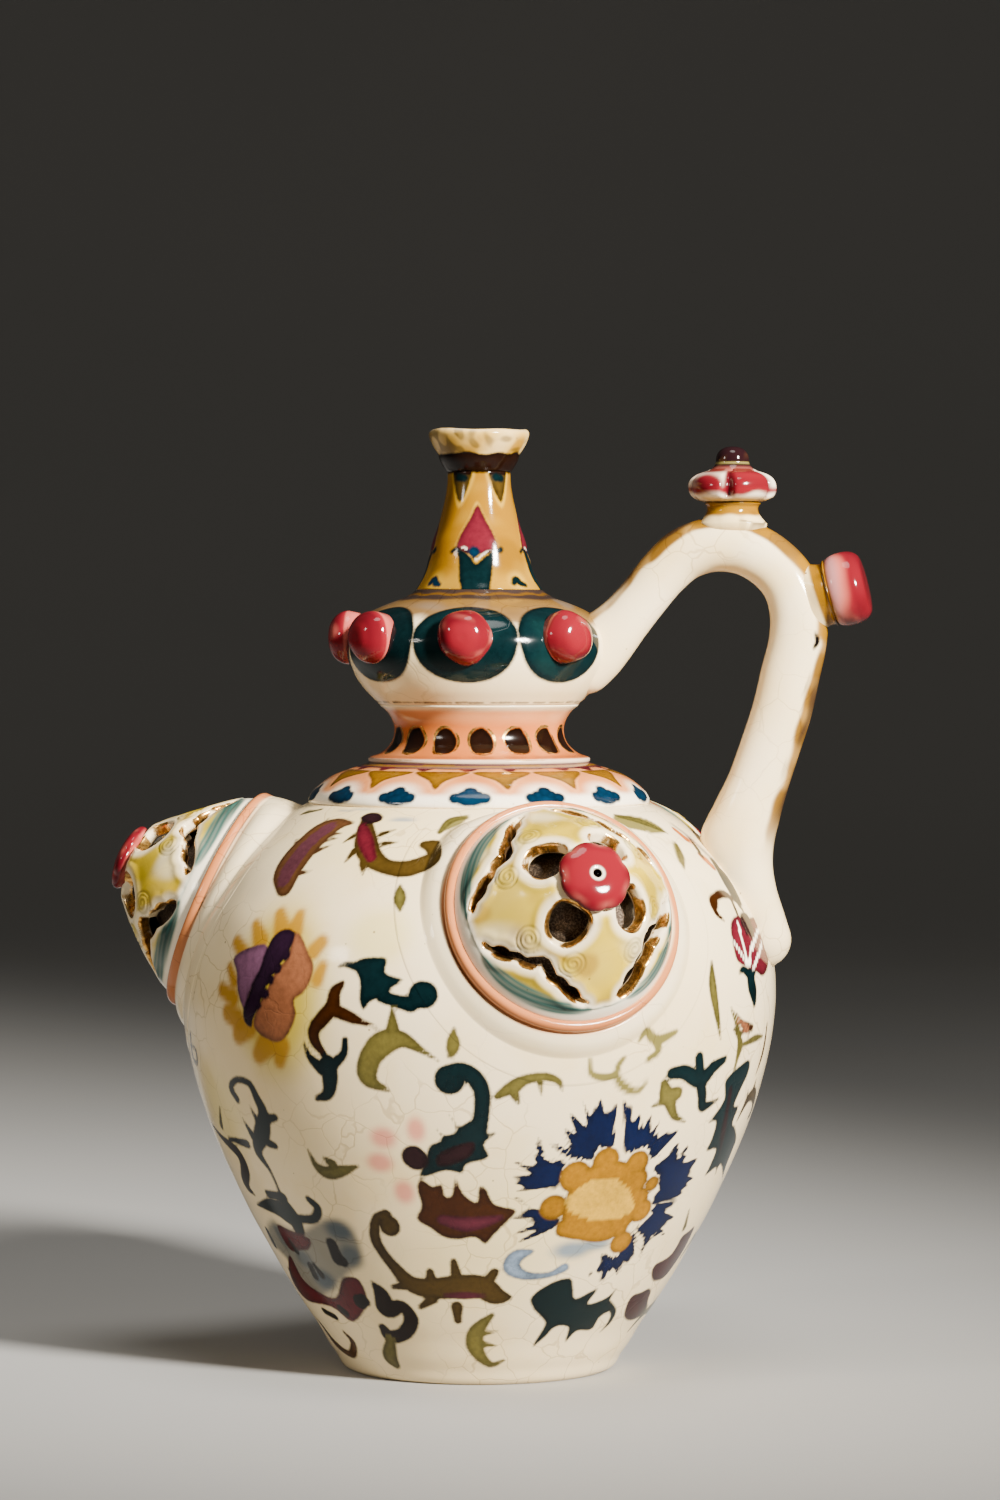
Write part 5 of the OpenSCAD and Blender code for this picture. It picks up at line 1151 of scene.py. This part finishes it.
    def side(coat, a, r, h):
        mess = mottle(a, r, h, 95, 8)
        coat.flood("crimson", 0.5 * smooth(4.4, 6.0, h) + 0.2 * mess)
        coat.flood("pink_pale", 0.85 * fade(2.4, 5.0, h + 1.2 * mess))
        coat.flood("greyblue", 0.35 * fade(1.5, 3.5, h + mess))
        coat.flood("umber", 0.3 * fade(0.6, 2.0, h) * (0.5 + 0.5 * mess))
        coat.flood("crimson", 0.8 * smooth(0.45, 0.95, -np.sin(a)) * fade(3.5, 5, h) * smooth(0.6, 2.2, h))
        coat.flood("ochre", 0.8 * fade(0.1, 0.9, h))
    profile = [(7.3, 0), (7.8, 0.6), (8.25, 1.7), (8.45, 3.3), (8.4, 4.7), (8.1, 6.0), (7.4, 7.1), (6.3, 7.85),
        (4.4, 8.12), (2, 8.18), (0.3, 8.2)]
    button("knob_button_glazed", profile, root + 2.2 * out, axes, lambda a, h: -0.03 + 0.012 * np.cos(3 * a + 0.7),
        PINK, "knob_button", side, 96, sink=0.4)


# ---------------------------------------------------------------- bosses: rim, dome and its piercing
SKIRT = 26  # radius at which a rim turns into its skirt
RING_FOOT = 40.2  # distance from the jug's axis that a skirt keeps, clear of the shoulder ring


def make_rims():
    """Rolled salmon rim and ivory skirt of each boss: the outline runs out over the body and meets its skin in a
    fillet, the smooth maximum of the two heights, and tucks under it at the edge. The body's ornament runs on over the
    skirt."""
    a = np.linspace(0, TURN, 330, endpoint=False)
    line = even(RIM_OUT, 120)
    for name, turn, pattern in BOSSES:
        middle, axes = boss_axes(turn)
        # room before the shoulder: the skirt is drawn in where the body ends under the shoulder ring
        probe = np.linspace(SKIRT, SKIRT + 10, 41)[:, None] + 0 * a
        p = middle + polar(probe, a, skin_height(turn, probe, a + 0 * probe)) @ axes
        free = np.hypot(p[..., 0], p[..., 1]) > RING_FOOT
        room = np.where(free.all(0), SKIRT + 10, probe[np.argmin(free, 0), 0])
        room = np.convolve(np.concatenate([room[-12:], room, room[:12]]), np.ones(25) / 25, "valid")
        share = np.clip((room - SKIRT) / (RIM_OUT[-1][0] - SKIRT), 0.04, 1)
        r0, h0 = line[:, :1], line[:, 1:]
        r = np.where(r0 > SKIRT, SKIRT + (r0 - SKIRT) * share, r0)
        ground = skin_height(turn, r, a + 0 * r)
        k = 3.4 * share + 0.5
        blend = np.maximum(k - np.abs(h0 - ground), 0) / k
        height = np.maximum(h0, ground) + blend ** 2 * k / 4 * (r0 > SKIRT + 0.2)
        height -= 0.35 * smooth(0.9, 1.0, np.linspace(0, 1, len(line))[:, None])
        r = np.vstack([np.full((1, len(a)), 23.0), r, r[-1:] - 0.6])
        height = np.vstack([np.full((1, len(a)), -3.5), height, height[-1:] - 2.0])
        grid = polar(r, a, height) @ axes + middle
        run = lengths(line)
        s = np.concatenate([[-4], run, [run[-1] + 2]])[:, None] + 0 * a
        x, y, z = np.moveaxis(grid, -1, 0)
        coat = Coat(np.arctan2(y, x), np.hypot(x, y), height_to_length(BODY_OUT, z))
        paint_body(coat)
        roll = (s < 8.0).ravel()
        coat.line[roll] = coat.rim[roll] = CLEAR
        coat.flood("ivory", fade(7.0, 11.0, s))
        coat.flood("salmon_pale", 0.3 * fade(4.8, 6.6, s) * (1 + 0.4 * np.sin(3 * a)))
        # painted shade: a faint olive band in the hollow just outside the rolled rim, where the roll tucks in and the
        # skirt begins, stronger on two opposite sides
        green = smooth(5.0, 6.0, s) * fade(8.5, 11.0, s)
        coat.flood("olive_pale", 0.2 * green * (0.5 + 0.5 * np.sin(2 * a + pattern)))
        wide = 2.1 + 0.45 * np.sin(a - 2.2) + 0.12 * np.sin(9 * a)
        coat.flood("salmon", 0.9 * fade(-0.5, 0.5, np.abs(s - 3.1) - wide))
        broken = smooth(-0.3, 0.5, np.sin(2 * a + 0.4) + 0.3 * np.sin(9 * a))
        coat.flood("brown_dark", 0.75 * fade(0.05, 0.3, np.abs(s - 4.75)) * broken)
        coat.flood("brown", 0.5 * fade(0.05, 0.25, np.abs(s - 0.7)) * smooth(0.2, 0.8, np.sin(3 * a + pattern)))
        cast(f"{name}_rim_glazed", grid, hoop(grid), coat, IVORY, f"{name}_flange")


# a drop-shaped hole's outline: (down the slope, along it)
DROP = [(4.7, 0), (4.4, 1.7), (3.3, 3.2), (1.5, 4.2), (-0.6, 4.7), (-2.8, 4.4), (-4.3, 3.4), (-5.0, 1.8),
    (-5.2, 0), (-5.0, -1.8), (-4.3, -3.4), (-2.8, -4.4), (-0.6, -4.7), (1.5, -4.2), (3.3, -3.2), (4.4, -1.7)]
# a slot's middle line from its cusp to its end: (down the slope, along the slot, half width)
SLOT = [(-0.7, 0, 1.35), (0.7, 1.1, 1.75), (1.7, 3.1, 1.6), (2.2, 5.4, 1.4), (3.2, 8.0, 1.65), (4.2, 10.4, 1.3),
    (4.7, 12.1, 0.7)]
SLOT_WIDTHS = (1.0, 0.72, 0.66, 1.3)  # shares of that half width, one for each slot of a dome
HOLES = ((11.2, 18.0, 45, "drop"), (18.03, 10.55, 52, "slot"))  # radius, height and slope of the dome at a hole


def hole_distance(p, pattern):
    """Distance (mm) from points on the dome to its nearest opening, below 0 inside one: four drops round the knob and
    four bracket-shaped slots outside them, each seen square to the slope, with scalloped edges on the slots."""
    far = np.full(len(p), 30.0)
    drop = flowing(DROP, 6, closed=True)
    half = flowing(SLOT, 6)
    both = np.vstack([half[::-1] * [1, -1, 1], half[1:]])
    for k, share in enumerate(SLOT_WIDTHS):
        c = np.radians(pattern + 90 * k)
        x, y, z = p[:, 0] * np.cos(c) + p[:, 1] * np.sin(c), p[:, 1] * np.cos(c) - p[:, 0] * np.sin(c), p[:, 2]
        for r0, z0, slope, kind in HOLES:
            e = np.radians(slope)
            u = (x - r0) * np.cos(e) - (z - z0) * np.sin(e)
            near = np.flatnonzero((np.abs(u) < 14) & (np.abs(y) < 16) & (x > 0))
            u, v = u[near], y[near]
            if kind == "drop":
                d = loop_distance(u, v, drop)
            else:
                t, d = side_distance(u, v, both[:-1, :2], both[1:, :2])
                inner_side = u < np.interp(np.abs(v), half[:, 1], half[:, 0])
                scallop = 0.5 * (np.abs(np.sin(v * TURN / 7.4)) - 0.4) * inner_side
                wide = share * (both[:-1, 2] + t * (both[1:, 2] - both[:-1, 2]))
                d = (d - wide - scallop[:, None]).min(1)
            far[near] = np.minimum(far[near], d)
    return far


def pierce(x, y, cut, rings, count):
    """A disc grid with its openings cut out. Triangles wholly outside the openings (cut above 0) stay, and those that
    cross an edge are divided where the distance, taken as straight along each side, is 0.

    Returns the places and distances of the points in use, the triangles, the cut edges and each grid point's new
    number.
    """
    quads = net(rings, count)
    tri = np.vstack([quads[:, [0, 1, 2]], quads[:, [0, 2, 3]]])
    many = (cut[tri] > 0).sum(1)
    mixed = tri[(many == 1) | (many == 2)]
    solid = cut[mixed] > 0
    one = solid.sum(1) == 1
    lone = np.where(one, np.argmax(solid, 1), np.argmax(~solid, 1))
    m = np.take_along_axis(mixed, (lone[:, None] + np.arange(3)) % 3, 1)
    pairs = np.vstack([np.sort(m[:, [0, 1]], 1), np.sort(m[:, [0, 2]], 1)])
    sides, where = np.unique(pairs, axis=0, return_inverse=True)
    low, high = sides.T
    where = where.ravel() + len(x)
    share = cut[low] / (cut[low] - cut[high])
    x, y = (np.concatenate([v, v[low] + share * (v[high] - v[low])]) for v in (x, y))
    cut = np.concatenate([cut, np.zeros(len(share))])
    e1, e2 = where[:len(m)], where[len(m):]
    two = ~one
    faces = np.vstack([tri[many == 3], np.stack([m[one, 0], e1[one], e2[one]], 1),
        np.stack([e1[two], m[two, 1], m[two, 2]], 1), np.stack([e1[two], m[two, 2], e2[two]], 1)])
    edges = np.vstack([np.stack([e1[one], e2[one]], 1), np.stack([e2[two], e1[two]], 1)])
    used = np.unique(faces)
    number = np.full(len(x), -1)
    number[used] = np.arange(len(used))
    return x[used], y[used], cut[used], number[faces], number[edges], number


def relief(r, c, s, cut, pattern):
    """Height of the modelling on a dome: edges rolled down to the cuts by a quarter circle, low lips round the openings
    (a bell curve of the distance), and bosses beside each slot with a spiral line pressed in them. Also returns the
    distance to the spirals."""
    roll = 0.75
    lift = -roll * (1 - np.sqrt(np.clip(1 - (1 - np.clip(cut / roll, 0, 1)) ** 2, 0, 1)))
    lift += 0.22 * np.exp(-((cut - 2.0) / 0.9) ** 2) * (r < 23)
    scroll = np.full(len(r), CLEAR)
    for k in range(4):
        for side in (-1, 1):
            t0 = np.radians(pattern + 90 * k + side * 19)
            u, v = r * c - 16.3 * np.cos(t0), r * s - 16.3 * np.sin(t0)
            along, across = -u * np.sin(t0) + v * np.cos(t0), (u * np.cos(t0) + v * np.sin(t0)) * 1.45
            rho, phi = np.hypot(along, across), np.arctan2(across, side * along)
            for lap in range(3):
                line = np.abs(rho - (0.35 + 0.95 * (phi / TURN + 0.5 + lap)))
                scroll = np.minimum(scroll, np.where(rho < 3.0, line, CLEAR))
            lift += 0.3 * np.exp(-(rho / 2.1) ** 4) * smooth(0.4, 1.4, cut)
    return lift - 0.16 * np.exp(-(scroll / 0.25) ** 2) * smooth(0.3, 1.2, cut), scroll


def make_domes():
    """Pierced dome of each boss. A disc grid is measured out by its arc from the crown and pierced; a wall runs from
    each cut to the inner face 3 mm below, and the cut is gilded. The outline's height follows the turned profile, with
    the modelled relief on it."""
    line = flowing(DOME_OUT[::-1], 14)
    arc = lengths(line)
    rings, count, thick = 96, 330, 3.0
    q = np.linspace(2.0, arc[-1], rings)[:, None]
    a = np.linspace(0, TURN, count, endpoint=False)

    def on_dome(x, y):
        """Radius, height, cosine and sine of the turn, and the outward normal's level and upward parts, at disc point
        (x, y)."""
        away = np.hypot(x, y)
        d = np.clip(away, arc[0], arc[-1])
        r, h = (np.interp(d, arc, v) for v in line.T)
        step = 0.35
        dr, dh = (np.interp(d + step, arc, v) - np.interp(d - step, arc, v) for v in line.T)
        size = np.hypot(dr, dh) + 1e-9
        return r, h, x / away, y / away, -dh / size, dr / size

    for name, turn, pattern in BOSSES:
        middle, axes = boss_axes(turn)
        x, y = (q * np.cos(a)).ravel(), (q * np.sin(a)).ravel()
        r, h, c, s, _, _ = on_dome(x, y)
        x, y, cut, faces, edges, number = pierce(x, y, hole_distance(np.stack([r * c, r * s, h], -1), pattern), rings,
            count)
        r, h, c, s, nr, nh = on_dome(x, y)
        lift, scroll = relief(r, c, s, cut, pattern)
        rim = smooth(arc[-1] - 1.2, arc[-1], np.hypot(x, y))
        lift = (lift - 0.15) * (1 - rim)
        outer = np.stack([(r + nr * lift) * c, (r + nr * lift) * s, h + nh * lift], -1)
        inner = np.stack([(r - nr * thick) * c, (r - nr * thick) * s, np.maximum(h - nh * thick, -0.2)], -1)
        # walls through the cuts, by way of three rows of points, and closed ends at the crown and the foot
        n, lip = len(x), np.unique(edges)
        spot = np.full(n, -1)
        spot[lip] = np.arange(len(lip))
        mids = [outer[lip] + (inner[lip] - outer[lip]) * t for t in (0.12, 0.45, 0.8)]
        levels = [edges] + [spot[edges] + n * 2 + i * len(lip) for i in range(3)] + [edges + n]
        walls = [np.stack([hi[:, 1], hi[:, 0], lo[:, 0], lo[:, 1]], 1) for hi, lo in zip(levels[:-1], levels[1:])]
        crown, foot = number[:count], number[count * (rings - 1):count * rings]
        ends = [np.stack([v, w, w + n, v + n], 1) for v, w in ((np.roll(crown, -1), crown), (foot, np.roll(foot, -1)))]
        points = np.vstack([outer, inner] + mids)
        th = np.arctan2(y, x)
        coat = Coat(*(np.concatenate([v, v] + [v[lip]] * 3) for v in (th, r)), 0.0)
        far = np.concatenate([cut, np.full(n, 5.0), np.zeros(len(lip) * 3)])
        gold = np.concatenate([fade(0.15, 0.7, cut), np.zeros(n), np.ones(len(lip) * 3)])
        paint_dome(coat, points, far, gold, scroll, pattern)
        faces = [faces, faces[:, ::-1] + n, *walls, *ends]
        cast(f"{name}_dome_glazed", points @ axes + middle, faces, coat, CREAM, f"{name}_dome")


def paint_dome(coat, points, far, gold, scroll, pattern):
    """Yellow, olive and ochre clouds inside a white edge, green crescents outside the slots, brushed in strokes that
    run along them, olive in the pressed scrolls, gold on every cut, and bronze on the inner face."""
    n, rr, turn = len(scroll), coat.radius, coat.turn
    cloud = clouds(points, 100 + int(pattern), 16)
    body = smooth(0.7, 2.6, far) * fade(21.6, 22.8, rr) * smooth(7.4, 9.0, rr)
    coat.flood("yellow", body * (0.9 + 0.1 * smooth(-1.0, 0.4, cloud)))
    coat.flood("olive", 0.4 * body * smooth(0.0, 0.9, cloud))
    coat.flood("ochre", 0.5 * body * smooth(0.25, 0.9, clouds(points, 130 + int(pattern), 9)))
    pale = smooth(0.2, 1.1, clouds(points, 131 + int(pattern), 17))
    coat.flood("white", 0.85 * smooth(22.2, 23.0, rr) + 0.4 * body * pale)
    near = slice(0, n)
    rr, turn, far = rr[near], turn[near], far[near]
    for k in range(4):
        d = (turn - np.radians(pattern + 90 * k + 4) + np.pi) % TURN - np.pi
        depth = np.sqrt(np.clip(1 - (d / np.radians(35)) ** 2, 0, 1))
        out = np.interp(rr, [19.5, 21.5, 22.6, 23.6, 24.3], [-2, 1.1, 3.1, 5.4, 7.5])
        mark = np.maximum(np.abs(out - 4.0 + 0.3 * np.cos(d * 3)) - 2.5 * depth, (0.5 - far) * 1.5)
        streak = 0.5 + 0.5 * np.sin(rr * 9 + 3 * np.sin(d * 4))
        coat.tint("teal_pale", fade(-0.7, 0.5, mark) * (0.7 + 0.3 * streak), near)
        coat.tint("teal_mid", fade(-1.6, 0.0, mark) * (0.5 + 0.5 * smooth(-0.3, 0.45, d)), near)
    coat.tint("olive", 0.35 * fade(0.1, 0.5, scroll), near)
    coat.gilt = gold * (0.62 + 0.42 * clouds(points, 140, 7))
    coat.ground[n:n * 2] = GLAZE["bronze"]


# ---------------------------------------------------------------- handle
def make_handle():
    """Handle: a rounded section carried along the middle line. Its outward half is a half ellipse, the inward half is a
    little flatter, and both swell where it grows out of the bulb and onto the body; the tail closes in a round end."""
    line = even(HANDLE, 250, 14)
    x, z, ho, hi, hw = line.T
    s = lengths(line[:, :2])
    tx, tz = np.gradient(x, s), np.gradient(z, s)
    size = np.hypot(tx, tz)
    tx, tz = tx / size, tz / size
    # round end: ten closing rings past the last point
    e = np.linspace(0, np.pi / 2, 12)[1:-1]
    x = np.concatenate([x, x[-1] + tx[-1] * hi[-1] * np.sin(e)])
    z = np.concatenate([z, z[-1] + tz[-1] * hi[-1] * np.sin(e)])
    ho, hi, hw = (np.concatenate([v, v[-1] * np.cos(e)]) for v in (ho, hi, hw))
    s = np.concatenate([s, s[-1] + line[-1, 3] * np.sin(e)])
    tx, tz = (np.concatenate([v, np.full(len(e), v[-1])]) for v in (tx, tz))
    count = 104
    a = np.linspace(0, TURN, count, endpoint=False)[None]  # 0 faces outward, a quarter turn back faces the front
    x, z, tx, tz, ho, hi, hw, s = (v[:, None] for v in (x, z, tx, tz, ho, hi, hw, s))
    reach = np.where(np.cos(a) > 0, ho * np.cos(a), hi * -np.abs(np.cos(a)) ** 0.86)
    side = hw * np.sign(np.sin(a)) * np.abs(np.sin(a)) ** 0.94
    wave = 1 + 0.012 * ripple(x + 0 * a, side, z + 0 * a, 150, 26)
    reach, side = reach * wave, side * wave
    grid = np.stack([x - tz * reach, side, z + tx * reach], -1)
    coat = Coat(a, hw, s)
    paint_handle(coat, grid.reshape(-1, 3))
    ends = [[x[0, 0], 0, z[0, 0]], [x[-1, 0] + tx[-1, 0] * 0.4, 0, z[-1, 0] + tz[-1, 0] * 0.4]]
    points = np.vstack([grid.reshape(-1, 3), ends])
    cast("jug_handle", points, capped(len(s), count), coat, IVORY, "handle")


def paint_handle(coat, points):
    """Warm clouds, an ochre stripe with plum on its crest and a broken brown line at its edges, along the outward side,
    ochre round the feet of the two knobs, umber round the finial's foot as painted shade, and a small black tick below
    the outer one."""
    px, py, pz = points.T
    along, outward = coat.along, np.cos(coat.turn)
    total = along[-1]
    mess, small = clouds(points, 151, 17), clouds(points, 154, 8)
    coat.flood("ivory_warm", 0.4 + 0.35 * mess)
    run = smooth(5, 10, along) * fade(total - 40, total - 22, along)
    edge = outward + 0.1 * mess + 0.05 * small - np.where(along < 75, 0.52, 0.7)
    stripe = smooth(0.0, 0.14, edge) * run * smooth(-1.5, -0.8, clouds(points, 155, 30))
    coat.flood("ochre", 0.9 * stripe)
    coat.flood("ochre_deep", 0.8 * stripe * smooth(-0.6, 0.2, small))
    crest = smooth(0.8, 0.93, outward + 0.05 * small) * smooth(-0.4, 0.3, clouds(points, 153, 16))
    coat.flood("plum_grey", 0.75 * run * crest)
    broken = smooth(0.1, 0.8, clouds(points, 156, 14))
    coat.flood("brown", 0.7 * fade(0.02, 0.07, np.abs(edge)) * run * broken)
    near_top = np.hypot(px - FINIAL_X, (pz - 190.2) * 1.2)
    coat.flood("ochre", 0.85 * fade(8.6, 10.4, near_top + 0.8 * mess) * smooth(0.6, 0.75, outward))
    # painted shade: umber round the foot of the finial's stem, on the handle's crest
    coat.flood("umber", 0.4 * fade(7.5, 9.0, near_top + 1.2 * small) * smooth(0.7, 0.85, outward))
    knob = knob_root()[0]
    near_knob = np.sqrt((px - knob[0]) ** 2 + (pz - knob[2]) ** 2 + 0.4 * py ** 2)
    coat.flood("ochre", 0.95 * fade(9.0, 10.5, near_knob + 0.8 * mess) * smooth(0.62, 0.78, outward))
    coat.brush("black", [(4.4, -1.5, 0.3), (5.3, 0.0, 0.75), (4.6, 1.5, 0.375)], -np.pi / 2, 83)


make_body()
make_shoulder()
make_collar()
make_bulb()
make_neck()
make_mouth()
make_beads()
make_rims()
make_domes()
make_knobs()
make_handle()
make_finial()

# carried-over pieces: the lustred cones behind the piercing, and the bare clay inside
for node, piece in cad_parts.items():
    if node.endswith("_back"):
        finish = BRONZE
    elif node in ("throat_plate", "dip_tube") or node.endswith("_vent"):
        finish = CLAY
    else:
        continue
    piece.data.materials.clear()
    piece.data.materials.append(finish)

# ---------------------------------------------------------------- floor, light and camera
def make_floor():
    """Pale floor that bends up behind: level to the depth `back`, then a quarter circle of radius `bend`, then a
    wall."""
    back, bend, half = 1.6, 1.4, 3
    u = np.linspace(-half, half, 25)
    e = np.linspace(0, np.pi / 2, 16)[1:]
    y = np.concatenate([np.linspace(-half, back, 12), back + bend * np.sin(e), [back + bend]])[:, None]
    z = np.concatenate([np.zeros(12), bend - bend * np.cos(e), [3.2]])[:, None]
    grid = np.stack(np.broadcast_arrays(u, y, z), -1)
    mesh = bpy.data.meshes.new("studio_floor")
    mesh.from_pydata(grid.reshape(-1, 3).tolist(), [], net(len(y), len(u), around=False).tolist())
    mesh.shade_smooth()
    b = Bench("studio_paper")
    b.feed(Base_Color=b.mix(b.noise(b.place, 3.0), (0.37, 0.365, 0.355), (0.41, 0.40, 0.39)), Roughness=0.75)
    mesh.materials.append(b.material)
    piece = bpy.data.objects.new("studio_floor", mesh)
    bpy.context.scene.collection.objects.link(piece)


def lamp(name, place, aim, width, power, colour, beam):
    """A round soft light at a place, facing a point, with a beam so many degrees wide."""
    data = bpy.data.lights.new(name, "AREA")
    data.shape, data.size, data.energy, data.color, data.spread = "DISK", width, power, colour, np.radians(beam)
    box = bpy.data.objects.new(name, data)
    box.location = place
    box.rotation_euler = (Vector(aim) - Vector(place)).to_track_quat("-Z", "Y").to_euler()
    bpy.context.scene.collection.objects.link(box)


make_floor()
lamp("right_light", (0.82, -0.70, 0.62), (0.0, 0, 0.2), 0.2, 3.6, (1.0, 0.96, 0.88), 34)
lamp("left_light", (-0.80, -0.72, 0.55), (0, 0, 0.14), 0.17, 0.2, (1.0, 0.94, 0.85), 46)
lamp("top_light", (0.1, -0.25, 1.25), (0, 0, 0.1), 0.5, 1.8, (1.0, 0.98, 0.93), 90)
world = bpy.data.worlds.new("studio_air")
world.use_nodes = True
world.node_tree.nodes["Background"].inputs["Color"].default_value = (0.80, 0.77, 0.70, 1)
world.node_tree.nodes["Background"].inputs["Strength"].default_value = 0.12
bpy.context.scene.world = world

# Camera: turned toward the handle, and aimed a little beside the axis and below its own height; metres
EYE_AWAY, EYE_UP, EYE_TURN = 1.0971, 0.1628, np.radians(9.5)
AIM_RIGHT, AIM_DOWN = 0.0047, 0.02463
FILM, FOCAL_ROWS, ROWS = 36.0, 4900, 1500  # film width in mm, focal length and picture height in pixels
view = bpy.data.cameras.new("photo_view")
view.sensor_width, view.lens = FILM, FOCAL_ROWS / ROWS * FILM
camera = bpy.data.objects.new("photo_view", view)
ahead = np.array([-np.sin(EYE_TURN), np.cos(EYE_TURN), 0])
right = np.array([np.cos(EYE_TURN), np.sin(EYE_TURN), 0])
eye = -ahead * EYE_AWAY + [0, 0, EYE_UP]
aim = right * AIM_RIGHT + [0, 0, EYE_UP - AIM_DOWN]
camera.location = eye
camera.rotation_euler = Vector(aim - eye).to_track_quat("-Z", "Y").to_euler()
bpy.context.scene.collection.objects.link(camera)
bpy.context.scene.camera = camera
